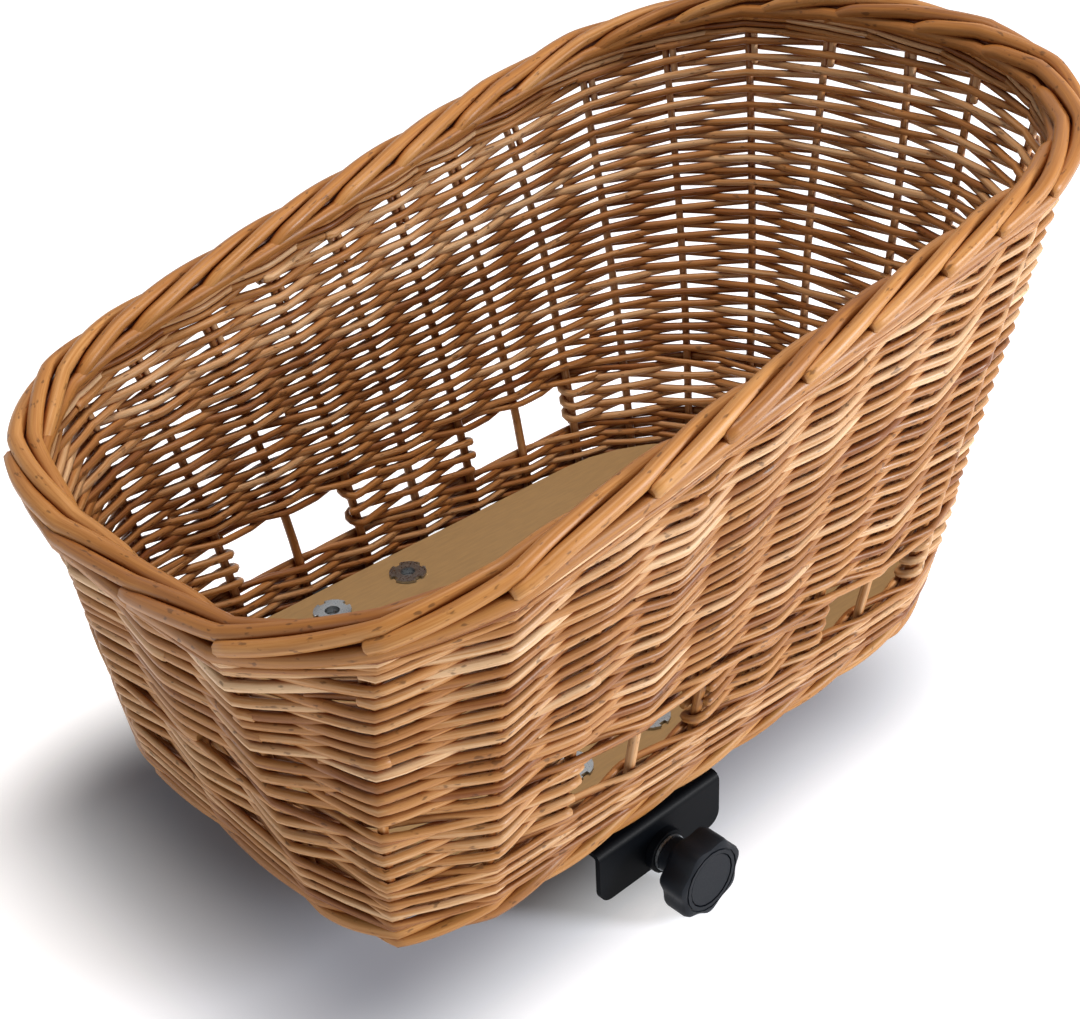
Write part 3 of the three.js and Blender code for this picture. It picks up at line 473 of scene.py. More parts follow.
def ramp(tree, factor, *stops):
    """Colour ramp from pairs of place and colour."""
    made = add_node(tree, "ShaderNodeValToRGB", {"Fac": factor})
    elements = made.color_ramp.elements
    while len(elements) < len(stops):
        elements.new(1.0)
    for element, (place, rgb) in zip(elements, stops):
        element.position = place
        element.color = opaque(rgb)
    return made.outputs["Color"]


# The part of a noise's range in which most of it lies
NOISE_RANGE = (0.3, 0.7)


def noise_to(tree, noise, limits):
    """A noise spread between two limits."""
    (low, high), (least, most) = NOISE_RANGE, limits
    inputs = {"Value": noise, "From Min": low, "From Max": high, "To Min": least, "To Max": most}
    return add_node(tree, "ShaderNodeMapRange", inputs).outputs["Result"]


# Peeled and buffed willow: each rod has its own tone, streaks run along it, small dark bud scars
# break them, and a thin lacquer gives a soft sheen. Painted shade from an occlusion node darkens the
# colour in the narrow gaps between rods. Cut ends show the pith.
STREAK_LENGTH = 45 * MM
STREAK_WIDTH = 1.4 * MM
STREAK_DETAIL = 4.0
STREAK_ROUGHNESS = 0.6
STREAK_CONTRAST = 0.9
STREAK_RELIEF = 0.35 * MM
STREAK_RELIEF_STRENGTH = 0.35
TONE_STOPS = (0.05, 0.5, 0.95)
SCAR_LENGTH = 7 * MM
SCAR_WIDTH = 2.6 * MM
SCAR_DETAIL = 2.0
SCAR_RANGE = (0.64, 0.7)
SCAR_STRENGTH = 0.6
SCAR_SHADE = 0.28
# Painted shade in the gaps between rods: how far the occlusion looks, the occlusion values over which it
# fades out, and its samples
PAINTED_GAP_SHADE_REACH = 5 * MM
PAINTED_GAP_SHADE_RANGE = (0.15, 0.75)
PAINTED_GAP_SHADE_SAMPLES = 6
LACQUER_IOR = 1.48
LACQUER_SPECULAR = 0.27
LACQUER_ROUGHNESS = (0.32, 0.5)


def willow(name, light, middle, dark):
    material, tree, shader = new_material(name)
    tone = add_node(tree, "ShaderNodeAttribute", attribute_name="tone").outputs["Fac"]
    cut = add_node(tree, "ShaderNodeAttribute", attribute_name="cut").outputs["Fac"]
    grain = add_node(tree, "ShaderNodeAttribute", attribute_name="grain").outputs["Vector"]
    finishes = bpy.context.scene.basket_finishes

    def noise(long, wide, **inputs):
        scale = (1 / long, 1 / wide, 1 / wide)
        spot = add_node(
            tree, "ShaderNodeVectorMath", {0: grain, 1: scale}, operation="MULTIPLY"
        ).outputs["Vector"]
        return add_node(tree, "ShaderNodeTexNoise", {"Vector": spot, "Scale": 1.0, **inputs}).outputs["Fac"]

    streak = noise(STREAK_LENGTH, STREAK_WIDTH, Detail=STREAK_DETAIL, Roughness=STREAK_ROUGHNESS)
    scars = noise(SCAR_LENGTH, SCAR_WIDTH, Detail=SCAR_DETAIL)
    lightness = add_node(
        tree,
        "ShaderNodeMath",
        {0: streak, 1: STREAK_CONTRAST, 2: -STREAK_CONTRAST / 2},
        operation="MULTIPLY_ADD",
    ).outputs["Value"]
    lightness = add_node(tree, "ShaderNodeMath", {0: tone, 1: lightness}, operation="ADD").outputs["Value"]
    wood = ramp(tree, lightness, *zip(TONE_STOPS, (dark, middle, light)))
    fleck = add_node(
        tree,
        "ShaderNodeMapRange",
        {"Value": scars, "From Min": SCAR_RANGE[0], "From Max": SCAR_RANGE[1], "To Max": SCAR_STRENGTH},
    ).outputs["Result"]
    flecked = add_node(
        tree,
        "ShaderNodeMix",
        {0: fleck, 6: wood, 7: opaque(c * SCAR_SHADE for c in dark)},
        data_type="RGBA",
    ).outputs[2]
    ends = add_node(
        tree,
        "ShaderNodeMix",
        {0: cut, 6: flecked, 7: opaque(finishes.pith)},
        data_type="RGBA",
    ).outputs[2]
    # Painted shade: an occlusion node darkens the colour in the narrow gaps between rods
    gap = add_node(
        tree, "ShaderNodeAmbientOcclusion", {"Distance": PAINTED_GAP_SHADE_REACH}, samples=PAINTED_GAP_SHADE_SAMPLES
    ).outputs["AO"]
    painted_gap_shade = ramp(tree, gap, (PAINTED_GAP_SHADE_RANGE[0], finishes.painted_gap_shade), (PAINTED_GAP_SHADE_RANGE[1], (1.0, 1.0, 1.0)))
    gap_shaded = add_node(
        tree, "ShaderNodeMix", {0: 1.0, 6: ends, 7: painted_gap_shade}, data_type="RGBA", blend_type="MULTIPLY"
    ).outputs[2]
    tree.links.new(gap_shaded, shader.inputs["Base Color"])
    tree.links.new(noise_to(tree, streak, LACQUER_ROUGHNESS), shader.inputs["Roughness"])
    bump = add_node(
        tree,
        "ShaderNodeBump",
        {"Height": streak, "Strength": STREAK_RELIEF_STRENGTH, "Distance": STREAK_RELIEF},
    ).outputs["Normal"]
    tree.links.new(bump, shader.inputs["Normal"])
    shader.inputs["IOR"].default_value = LACQUER_IOR
    shader.inputs["Specular IOR Level"].default_value = LACQUER_SPECULAR
    return material


GRAIN_DETAIL = 5.0
GRAIN_ROUGHNESS = 0.62
GRAIN_RELIEF_STRENGTH = 0.5


def grained(name, base, spread, size, rough, metallic=0.0, stretch=(1, 1, 1), bump=0.0, specular=0.5):
    """Surface whose colour, gloss and height vary with one noise of a real size in the object's
    own space."""
    material, tree, shader = new_material(name)
    place = add_node(tree, "ShaderNodeTexCoord").outputs["Object"]
    scale = tuple(s / size for s in stretch)
    spot = add_node(
        tree, "ShaderNodeVectorMath", {0: place, 1: scale}, operation="MULTIPLY"
    ).outputs["Vector"]
    noise = add_node(
        tree,
        "ShaderNodeTexNoise",
        {"Vector": spot, "Scale": 1.0, "Detail": GRAIN_DETAIL, "Roughness": GRAIN_ROUGHNESS},
    ).outputs["Fac"]
    tints = [tuple(min(1.0, c * (1 + way * spread)) for c in base) for way in (-1, 1)]
    tree.links.new(ramp(tree, noise, *zip(NOISE_RANGE, tints)), shader.inputs["Base Color"])
    tree.links.new(noise_to(tree, noise, rough), shader.inputs["Roughness"])
    shader.inputs["Metallic"].default_value = metallic
    shader.inputs["Specular IOR Level"].default_value = specular
    if bump:
        relief = add_node(
            tree,
            "ShaderNodeBump",
            {"Height": noise, "Strength": GRAIN_RELIEF_STRENGTH, "Distance": bump},
        ).outputs["Normal"]
        tree.links.new(relief, shader.inputs["Normal"])
    return material


# Grain drawn out along X, as shares of its frequency across
ALONG_BOARD = (0.12, 1, 1)
ALONG_BLOCK = (0.08, 1, 1)
# Colour and surface of the plain materials, with the real size of the grain
GRAINED = {
    # Birch plywood, peeled and sanded: matt, with a fine grain along the board
    "birch_plywood": (
        "plywood",
        {"spread": 0.12, "size": 1.6 * MM, "rough": (0.6, 0.85), "stretch": ALONG_BOARD, "bump": 0.05 * MM},
    ),
    # Sawn softwood: dull and fuzzy, with a coarser grain along the block
    "sawn_softwood": (
        "softwood",
        {"spread": 0.2, "size": 2.2 * MM, "rough": (0.7, 0.9), "stretch": ALONG_BLOCK, "bump": 0.1 * MM},
    ),
    # Powder coat baked on steel: near black with a low sheen, broken by a fine orange peel
    "powder_coated_steel": (
        "coat",
        {"spread": 0.15, "size": 0.5 * MM, "rough": (0.4, 0.55), "bump": 0.05 * MM, "specular": 0.07},
    ),
    # Zinc plating on pressed steel: bright grey metal with cloudy reflections
    "zinc_plated_steel": (
        "zinc",
        {"spread": 0.12, "size": 1.2 * MM, "rough": (0.22, 0.42), "metallic": 1.0},
    ),
    # Nylon from an etched mould: blue-black, satin, finely pebbled
    "moulded_nylon": (
        "plastic",
        {"spread": 0.15, "size": 0.5 * MM, "rough": (0.42, 0.58), "bump": 0.05 * MM, "specular": 0.13},
    ),
    # Moulded rubber: black and dull
    "moulded_rubber": (
        "rubber",
        {"spread": 0.2, "size": 0.8 * MM, "rough": (0.75, 0.9), "bump": 0.05 * MM},
    ),
    # Turned brass: yellow metal, slightly clouded
    "turned_brass": (
        "brass",
        {"spread": 0.1, "size": 1.0 * MM, "rough": (0.25, 0.4), "metallic": 1.0},
    ),
}


def material_for(name):
    """The scene's material of one name, made once."""
    if name in bpy.data.materials:
        return bpy.data.materials[name]
    finishes = bpy.context.scene.basket_finishes
    if name == "buffed_willow":
        return willow(name, finishes.willow_light, finishes.willow_mid, finishes.willow_dark)
    if name == "buffed_willow_border":
        return willow(name, finishes.border_light, finishes.border_mid, finishes.border_dark)
    finish, surface = GRAINED[name]
    return grained(name, getattr(finishes, finish), **surface)


SLOT_MATERIALS = {
    "willow": "buffed_willow",
    "willow_border": "buffed_willow_border",
    "plywood": "birch_plywood",
    "packing_wood": "sawn_softwood",
    "black_steel": "powder_coated_steel",
    "zinc_steel": "zinc_plated_steel",
    "black_plastic": "moulded_nylon",
    "black_rubber": "moulded_rubber",
    "brass": "turned_brass",
}


def wall_and_rods():
    scene = bpy.context.scene
    return Wall(scene.basket_wall), scene.basket_rods


STEPS_BETWEEN_STAKES = np.array([0, 0.08, 0.22, 0.5, 0.78, 0.92])
CLOSEST_STEP = 0.03
BEND_SHARPNESS = 0.94


def stake_steps(first, last):
    """Places from one stake count to another, close together where a rod bends round a stake."""
    whole = np.arange(math.floor(first), math.ceil(last) + 1)
    steps = (whole[:, None] + STEPS_BETWEEN_STAKES).ravel()
    inside = steps[(steps > first + CLOSEST_STEP) & (steps < last - CLOSEST_STEP)]
    return np.concatenate([[first], inside, [last]])


def in_and_out(s):
    """Swing of a weaver, +1 outside an even stake and -1 inside an odd one."""
    return np.arcsin(BEND_SHARPNESS * np.cos(math.pi * s)) / math.asin(BEND_SHARPNESS)


WEAVE_START = 126 * MM
# The rows above the right windows hang down a little at the windows' middle stakes
SAGGING_STAKES = (20, 24)
WINDOW_SAG = 4.5 * MM
RIM_TO_WEAVE = 15 * MM
ROUNDS_IN_COURSE = 4
COURSES = 7
# Short pairs of rows that fill up the sides and the back: the round of a course above which each
# pair lies, and the first stakes from which it starts in turn
FILLER_ROWS = 2
FILLERS = ((1, (2, 2, 1)), (2, (11, STAKES, STAKES)), (3, (4, 6, 5)))
ROD_CROSSINGS = (22, 38)
CROSSING_JITTER = 0.12 * MM
END_LENGTH = 0.1
END_TUCK = 0.7 * MM
TUCK_LENGTH = 0.5
# A short row starts as a thin tip a little before its first stake
TIP_LENGTH = 0.5
TIP_THICKNESS = 0.5
FULL_FROM_TIP = 1.2
BUTT_TO_TIP = (1.08, 0.9)
# The thickest rods are at the front: shares of the usual thickness at stakes from front to back
THICKNESS_STAKES = (0, 3, 10, 14)
THICKNESS_SHARES = (1.3, 1.02, 1.0, 0.96)
# Share of the full swing that is left where a rod beds into a stake
BEDDED = 0.8


def window_sag(s):
    """How far the rows above the right windows hang down at places counted in stakes."""
    from_middle = [np.abs(s % STAKES - middle) for middle in SAGGING_STAKES]
    return WINDOW_SAG * np.clip(1 - np.min(from_middle, axis=0), 0, 1)


class BASKET_OT_upper_weave(bpy.types.Operator):
    """Weavers that wind up the wall from the windows to the rim, in and out of the stakes"""

    bl_idname = "basket.upper_weave"
    bl_label = "Upper Weave"

    def execute(self, context):
        self.wall, self.sizes = wall_and_rods()
        self.rng = np.random.default_rng(SEED)
        self.rods = Rods(self.rng)
        rounds, fillers = self.heights()
        for row, first, heights in [(0, 0, rounds), *fillers]:
            last = first + len(heights) - 1
            for start, stop in self.open_runs(heights, first, row):
                part = heights[start - first : stop + 1 - first]
                tips = (row > 0 and start == first, row > 0 and stop == last)
                self.weave(start, stop, part, row, tips)
        self.rods.build("upper_weave", material_for("buffed_willow"), "willow", "upper_wall")
        return {"FINISHED"}

    def heights(self):
        """Heights of the winding rows at each crossing, and of the short rows between them."""
        wall, sizes = self.wall, self.sizes
        stake = np.arange(STAKES)
        middle = wall.sizes.rim_middle_height
        climb = 1 + sizes.fan * (wall.rim_z - middle) / (middle - WEAVE_START)
        base = WEAVE_START - window_sag(stake)
        starts, pitches, covers = [], [], []
        for course in range(COURSES):
            cover = {}
            for level, firsts in FILLERS:
                first = firsts[course % len(firsts)]
                cover[level] = (stake >= first) & (stake <= STAKES - first)
            rows = ROUNDS_IN_COURSE + FILLER_ROWS * sum(c.astype(int) for c in cover.values())
            pitch = sizes.course * climb / rows
            for level in range(ROUNDS_IN_COURSE):
                covered = cover.get(level, np.zeros(STAKES, bool))
                starts.append(base.copy())
                pitches.append(pitch)
                covers.append(covered)
                base += pitch * np.where(covered, FILLER_ROWS + 1, 1)
        wound = np.array(starts) + np.array(pitches) * stake / STAKES
        fillers = []
        for level in range(len(wound) - 1):
            present = np.flatnonzero(covers[level])
            if len(present):
                near = np.arange(present[0] - 1, present[-1] + 2)
                low, high = wound[level][near % STAKES], wound[level + 1][near % STAKES]
                for row in range(1, FILLER_ROWS + 1):
                    share = row / (FILLER_ROWS + 1)
                    fillers.append((level + row, near[0], low + (high - low) * share))
        return wound.ravel(), fillers

    def open_runs(self, heights, first, row):
        """Runs of crossings that lie below the rim, cut into single rods that end outside a stake."""
        n = first + np.arange(len(heights))
        free = heights < self.wall.rim_z[n % STAKES] - RIM_TO_WEAVE
        start = None
        for i, is_free in zip(n, free):
            if is_free and start is None:
                start = i
                limit = i + self.rng.integers(*ROD_CROSSINGS)
            last = i == n[-1] or not free[i + 1 - first]
            if start is not None and (last or (i >= limit and (i + row) % 2 == 0)):
                if i - start > 1:
                    yield start, i
                start = None if last else i
                limit = i + self.rng.integers(*ROD_CROSSINGS)

    def weave(self, start, stop, heights, row, tips):
        sizes, rng = self.sizes, self.rng
        lead, tail = (1 - TIP_LENGTH if tip else -END_LENGTH for tip in tips)
        s = stake_steps(start + lead, stop - tail)
        z = heights + rng.normal(0, CROSSING_JITTER, len(heights))
        z = np.interp(s, np.arange(start, stop + 1), z)
        ends = [start - END_LENGTH, start + TUCK_LENGTH, stop - TUCK_LENGTH, stop + END_LENGTH]
        end = np.interp(s, ends, [1, 0, 0, 1])
        from_front = np.minimum(s % STAKES, -s % STAKES)
        radius = sizes.weaver / 2 * np.interp(from_front, THICKNESS_STAKES, THICKNESS_SHARES)
        radius = radius * np.interp(s, [start, stop], BUTT_TO_TIP) * rng.normal(1, THICKNESS_SPREAD)
        for tip, place, way in zip(tips, (start, stop), (1, -1)):
            if tip:
                from_tip = way * (s - place)
                grown = [1 - TIP_LENGTH, FULL_FROM_TIP]
                radius = radius * np.interp(from_tip, grown, [TIP_THICKNESS, 1])
        swing = BEDDED * (sizes.stake / 2 + radius)
        out = swing * in_and_out(s + row) - END_TUCK * end
        self.rods.add(self.wall.at(s, z, out), radius)


LOWER_WALES = (64.8 * MM, 71.7 * MM, 78.6 * MM, 85.5 * MM)
HEAD_WALE = 121.6 * MM
RIM_WALE_DROPS = (15.4 * MM, 11.8 * MM, 8.4 * MM)
WALE_RISE = 1.7 * MM
HEAD_WALE_RISE = 2.3 * MM
WALE_RODS = 3
WALE_OVERLAP = 1.6
WALE_BOW = 0.12
WALE_TAPER = (1.06, 0.94)


def wale(rods, wall, heights, diameter, stake, rise):
    """Band of three rods that each pass outside two stakes and inside the third, from the band's
    heights at the stakes."""
    swing = (stake + diameter) / 2
    for rod in range(WALE_RODS):
        s = stake_steps(rod, rod + STAKES + WALE_OVERLAP)
        phase = (s - rod) % WALE_RODS
        climb = np.interp(phase, [0, 0.5, WALE_RODS - 0.5, WALE_RODS], [0, -rise, rise, 0])
        near = np.minimum(phase, WALE_RODS - phase)
        bow = 1 + WALE_BOW * np.sin(math.pi * (phase - 1))
        out = swing * np.where(near < 1, -in_and_out(near), bow)
        radius = diameter / 2 * np.interp(s, [s[0], s[-1]], WALE_TAPER)
        rods.add(wall.at(s, round_the_wall(heights, s) + climb, out), radius)


class BASKET_OT_wales(bpy.types.Operator):
    """Twisted bands of three rods: four below the windows, one above them and three under the rim"""

    bl_idname = "basket.wales"
    bl_label = "Wales"

    def execute(self, context):
        wall, sizes = wall_and_rods()
        rng = np.random.default_rng(SEED + 1)
        lower = Rods(rng)
        for height in LOWER_WALES:
            wale(lower, wall, np.full(STAKES, height), sizes.wale, sizes.stake, WALE_RISE)
        lower.build("lower_wales", material_for("buffed_willow"), "willow", "lower_wall")
        upper = Rods(rng)
        head = HEAD_WALE - window_sag(np.arange(STAKES))
        wale(upper, wall, head, sizes.wale, sizes.stake, HEAD_WALE_RISE)
        for drop in RIM_WALE_DROPS:
            wale(upper, wall, wall.rim_z - drop, sizes.rim_wale, sizes.stake, WALE_RISE)
        upper.build("upper_wales", material_for("buffed_willow"), "willow")
        return {"FINISHED"}


# Piers between the windows, with their first and last stakes
PIERS = (
    ("front", -4, 4),
    ("left", 6, 8),
    ("back", 10, 19),
    ("right", 21, 23),
)
PIER_ABOVE_SILL = 1.5 * MM
PIER_BELOW_HEAD = 1.0 * MM
PIER_JITTER = 0.04 * MM
PIER_THICKNESS = (0.96, 0.04)
WRAP_STEPS = 5
# A row ends at the window instead of turning back: how often, how far on and how far out
ROW_END_CHANCE = 0.3
ROW_END_LENGTHS = np.array([0.06, 0.12])
ROW_END_SWINGS = np.array([1.0, 0.85])


class BASKET_OT_piers(bpy.types.Operator):
    """Weaving between the windows, which turns back round the stakes at the windows' edges"""

    bl_idname = "basket.piers"
    bl_label = "Window Piers"

    def execute(self, context):
        wall, sizes = wall_and_rods()
        rng = np.random.default_rng(SEED + 2)
        low = wall.sizes.window_bottom + PIER_ABOVE_SILL
        high = wall.sizes.window_top - PIER_BELOW_HEAD
        rows = round((high - low) / sizes.pier_pitch)
        heights = np.linspace(low, high, rows)
        swing = (sizes.stake + sizes.weaver) / 2
        for name, first, last in PIERS:
            rods = Rods(rng)
            s_all, z_all, out_all = [], [], []
            for row, z in enumerate(heights):
                s = stake_steps(first, last)
                out = swing * in_and_out(s + row)
                if row % 2:
                    s, out = s[::-1], out[::-1]
                s_all.append(s)
                z_all.append(z + rng.normal(0, PIER_JITTER, len(s)).cumsum())
                out_all.append(out)
                ends = row == rows - 1 or rng.random() < ROW_END_CHANCE
                way = -1 if row % 2 else 1
                step = float(np.linalg.norm(wall.at(s[-1], z, 0) - wall.at(s[-1] + way, z, 0)))
                if ends:
                    s_all.append(s[-1] + way * ROW_END_LENGTHS)
                    z_all.append(np.full(len(ROW_END_LENGTHS), z))
                    out_all.append(out[-1] * ROW_END_SWINGS)
                    path = wall.at(*(np.concatenate(part) for part in (s_all, z_all, out_all)))
                    rods.add(path, sizes.weaver / 2 * rng.normal(*PIER_THICKNESS))
                    s_all, z_all, out_all = [], [], []
                else:
                    turn = np.arange(1, WRAP_STEPS) * math.pi / WRAP_STEPS
                    s_all.append(s[-1] + way * swing / step * np.sin(turn))
                    z_all.append(np.linspace(z, heights[row + 1], WRAP_STEPS + 1)[1:-1])
                    out_all.append(out[-1] * np.cos(turn))
            rods.build(f"pier_weave_{name}", material_for("buffed_willow"), "willow", f"window_pier_{name}")
        return {"FINISHED"}


STAKE_STEPS = 9
STAKE_BELOW_FOOT = 4 * MM
STAKE_BELOW_RIM = 2 * MM
STAKE_TAPER = (1.03, 0.84)
# A liner beside the top of a stake: from this far below the rim up to somewhere between two heights
LINER_STEPS = 5
LINER_BELOW_RIM = 34 * MM
LINER_TOPS = (9 * MM, 14 * MM)
LINER_BESIDE = 0.09
LINER_INWARDS = 1.2 * MM
LINER_THICKNESS = 0.8
# Liners are paler than the rods' middle tone, which paints light on the top of the inside wall
LINER_PAINTED_LIGHT_TONE = 0.7


class BASKET_OT_stakes(bpy.types.Operator):
    """Upright stakes, and the shorter liners beside their upper ends"""

    bl_idname = "basket.stakes"
    bl_label = "Stakes"

    def execute(self, context):
        wall, sizes = wall_and_rods()
        rng = np.random.default_rng(SEED + 3)
        rods = Rods(rng)
        for stake in range(STAKES):
            top = wall.rim_z[stake]
            z = np.linspace(wall.foot - STAKE_BELOW_FOOT, top - STAKE_BELOW_RIM, STAKE_STEPS)
            radius = sizes.stake / 2 * np.linspace(*STAKE_TAPER, STAKE_STEPS)
            rods.add(wall.at(stake, z, 0), radius)
            z = np.linspace(top - LINER_BELOW_RIM, top - rng.uniform(*LINER_TOPS), LINER_STEPS)
            liner = wall.at(stake + LINER_BESIDE, z, -LINER_INWARDS)
            rods.add(liner, sizes.stake / 2 * LINER_THICKNESS, LINER_PAINTED_LIGHT_TONE)
        stakes = [f"window_stake_{end}_{side}" for end in ("front", "rear") for side in SIDES]
        rods.build("stakes", material_for("buffed_willow"), "willow", *stakes)
        return {"FINISHED"}


# A border rod turns about the rim's centre line, from below its inside over the top to its outside
RIM_SPAN = 3.0
RIM_SPAN_SPREAD = 0.1
RIM_HALF_TURNS = (-0.15, 1.06)
RIM_OUT = 7.2 * MM
RIM_UP = 5.2 * MM
# Rods that lie below them all the way round, outwards and upwards from the centre line, and tones
RIM_BED = ((6.4 * MM, -5.0 * MM, 0.4), (-5.6 * MM, -4.4 * MM, 0.35), (0.2 * MM, -2.2 * MM, 0.05))
RIM_BED_STEPS = 8
RIM_STEPS = 32
RIM_DIVE_LENGTH = 0.5
RIM_DIVE = 6 * MM
RIM_DIVE_IN = 0.5
RIM_DIVE_THICKNESS = 0.75
BORDER_STRAIGHT = 0.5


class BASKET_OT_rim_border(bpy.types.Operator):
    """Rolled border: rods come up between the stakes, lie along the rim and end on the next ones"""

    bl_idname = "basket.rim_border"
    bl_label = "Rim Border"

    def execute(self, context):
        wall, sizes = wall_and_rods()
        rng = np.random.default_rng(SEED + 4)
        rods = Rods(rng, BORDER_TONE_SPREAD)
        for stake in range(STAKES):
            span = RIM_SPAN + rng.uniform(-RIM_SPAN_SPREAD, RIM_SPAN_SPREAD)
            run = np.linspace(0, span, RIM_STEPS)
            turn = math.pi * np.interp(run, [0, RIM_SPAN], RIM_HALF_TURNS)
            dive = np.clip(1 - run / RIM_DIVE_LENGTH, 0, 1) ** 2
            s = stake + run
            z = wall.rim_at(s) + RIM_UP * np.sin(turn) - RIM_DIVE * dive
            out = -RIM_OUT * np.cos(turn) * (1 - RIM_DIVE_IN * dive)
            radius = sizes.rim_rod / 2 * (1 - (1 - RIM_DIVE_THICKNESS) * dive)
            rods.add(wall.at(s, z, out, BORDER_STRAIGHT), radius * rng.normal(1, THICKNESS_SPREAD))
        s = np.linspace(0, STAKES, RIM_BED_STEPS * STAKES + 1)
        for out, up, tone in RIM_BED:
            bed = wall.at(s, wall.rim_at(s) + up, out, BORDER_STRAIGHT)
            rods.add(bed, sizes.rim_rod / 2, tone)
        rods.build("rim_rods", material_for("buffed_willow_border"), "willow_border", "rim_border")
        return {"FINISHED"}


FOOT_STRANDS = 3
FOOT_TWIST_RADIUS = 3.6 * MM
FOOT_LIFT = 1.5 * MM
FOOT_STRAIGHT = 0.85
FOOT_STEPS = 12
FOOT_TURNS = (2, 4)
FOOT_TAPER = (1.0, 0.93)
FOOT_THICKNESS_SPREAD = 0.03


class BASKET_OT_foot_border(bpy.types.Operator):
    """Foot border: thick rods twisted round each other below the wall"""

    bl_idname = "basket.foot_border"
    bl_label = "Foot Border"

    def execute(self, context):
        wall, sizes = wall_and_rods()
        rng = np.random.default_rng(SEED + 5)
        rods = Rods(rng, BORDER_TONE_SPREAD)
        for strand in range(FOOT_STRANDS):
            start = strand
            while start < strand + STAKES:
                stop = start + FOOT_STRANDS * rng.integers(*FOOT_TURNS)
                stop = min(stop, strand + STAKES + FOOT_STRANDS)
                s = np.linspace(start, stop, FOOT_STEPS * (stop - start) + 1)
                turn = 2 * math.pi * (s - strand) / FOOT_STRANDS
                out = -FOOT_TWIST_RADIUS * np.cos(turn)
                z = wall.foot + FOOT_LIFT + FOOT_TWIST_RADIUS * np.sin(turn)
                radius = sizes.foot_rod / 2 * np.linspace(*FOOT_TAPER, len(s))
                radius = radius * rng.normal(1, FOOT_THICKNESS_SPREAD)
                rods.add(wall.at(s, z, out, FOOT_STRAIGHT), radius)
                start = stop
        rods.build("foot_rods", material_for("buffed_willow_border"), "willow_border", "foot_border")
        return {"FINISHED"}


BASE_STICKS = 7
BASE_STICK = 4.2 * MM
BASE_STICK_STEPS = 6
BASE_WEAVER = 2.0 * MM
BASE_PITCH = 2.8 * MM
BASE_INSET = 11 * MM
# Shares of the half width at which the outer sticks lie
BASE_REACH = (-0.82, 0.82)
# From the base's front and back to its first and last weaver
BASE_ENDS = (4 * MM, 3 * MM)
WEAVER_INSET = 1 * MM
STEPS_BETWEEN_STICKS = 6
FEWEST_STEPS = 4
EDGE_STEPS = 200


class BASKET_OT_base(bpy.types.Operator):
    """Woven base below the floor board: lengthwise sticks with weavers across them"""

    bl_idname = "basket.base"
    bl_label = "Woven Base"

    def execute(self, context):
        wall, _ = wall_and_rods()
        rng = np.random.default_rng(SEED + 6)
        rods = Rods(rng)
        low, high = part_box("woven_base")
        z = (low[2] + high[2]) / 2
        edge = wall.point(np.linspace(0, HALF_ROUND, EDGE_STEPS), wall.foot, -BASE_INSET)
        order = np.argsort(edge[:, 0])
        lines = np.linspace(*BASE_REACH, BASE_STICKS) * high[1]
        gap = lines[1] - lines[0]
        swing = (BASE_STICK + BASE_WEAVER) / 2
        for y in lines:
            reach = edge[edge[:, 1] >= abs(y)][:, 0]
            x = np.linspace(reach.min(), reach.max(), BASE_STICK_STEPS)
            rods.add(np.stack(np.broadcast_arrays(x, y, z), axis=1), BASE_STICK / 2)
        weavers = np.arange(low[0] + BASE_ENDS[0], high[0] - BASE_ENDS[1], BASE_PITCH)
        for row, x in enumerate(weavers):
            half = np.interp(x, edge[order, 0], edge[order, 1]) - WEAVER_INSET
            steps = max(FEWEST_STEPS, round(2 * half / gap * STEPS_BETWEEN_STICKS))
            y = np.linspace(-half, half, steps)
            swung = np.cos(math.pi * ((y - lines[0]) / gap + row))
            path = np.stack(np.broadcast_arrays(x, y, z + swing * swung), axis=1)
            rods.add(path, BASE_WEAVER / 2 * rng.normal(1, THICKNESS_SPREAD))
        rods.build("base_weave", material_for("buffed_willow"), "willow", "woven_base")
        return {"FINISHED"}


SHARP_ANGLE = math.radians(32)
SAME_POINT = 0.002 * MM


def rounded_shading():
    """Modifier nodes that shade round faces smooth and leave real edges sharp."""
    tree = bpy.data.node_groups.new("rounded_shading", "GeometryNodeTree")
    for way in ("INPUT", "OUTPUT"):
        tree.interface.new_socket("Geometry", in_out=way, socket_type="NodeSocketGeometry")
    solid = add_node(tree, "NodeGroupInput").outputs["Geometry"]
    solid = add_node(
        tree, "GeometryNodeMergeByDistance", {"Geometry": solid, "Distance": SAME_POINT}
    ).outputs["Geometry"]
    bend = add_node(tree, "GeometryNodeInputMeshEdgeAngle").outputs["Unsigned Angle"]
    edge = add_node(
        tree, "FunctionNodeCompare", {0: bend, 1: SHARP_ANGLE}, operation="GREATER_THAN"
    ).outputs["Result"]
    for domain, chosen, smooth in (("FACE", True, True), ("EDGE", edge, False)):
        solid = add_node(
            tree,
            "GeometryNodeSetShadeSmooth",
            {"Geometry": solid, "Selection": chosen, "Shade Smooth": smooth},
            domain=domain,
        ).outputs["Geometry"]
    add_node(tree, "NodeGroupOutput", {"Geometry": solid})
    return tree


class BASKET_OT_hardware(bpy.types.Operator):
    """Finishes of the floor board, the tee nuts and the clamps"""

    bl_idname = "basket.hardware"
    bl_label = "Hardware Finishes"

    def execute(self, context):
        shading = rounded_shading()
        for part in frame["record"]["subparts"]:
            obj = frame["nodes"][part["node"]]
            if obj.hide_render:
                continue
            obj.modifiers.new("rounded_shading", "NODES").node_group = shading
            material = material_for(SLOT_MATERIALS[part["material_slot"]])
            for held in obj.material_slots:
                held.material = material
        return {"FINISHED"}


FLOOR_SIZE = 8.0
FLOOR_ROUGHNESS = 0.9
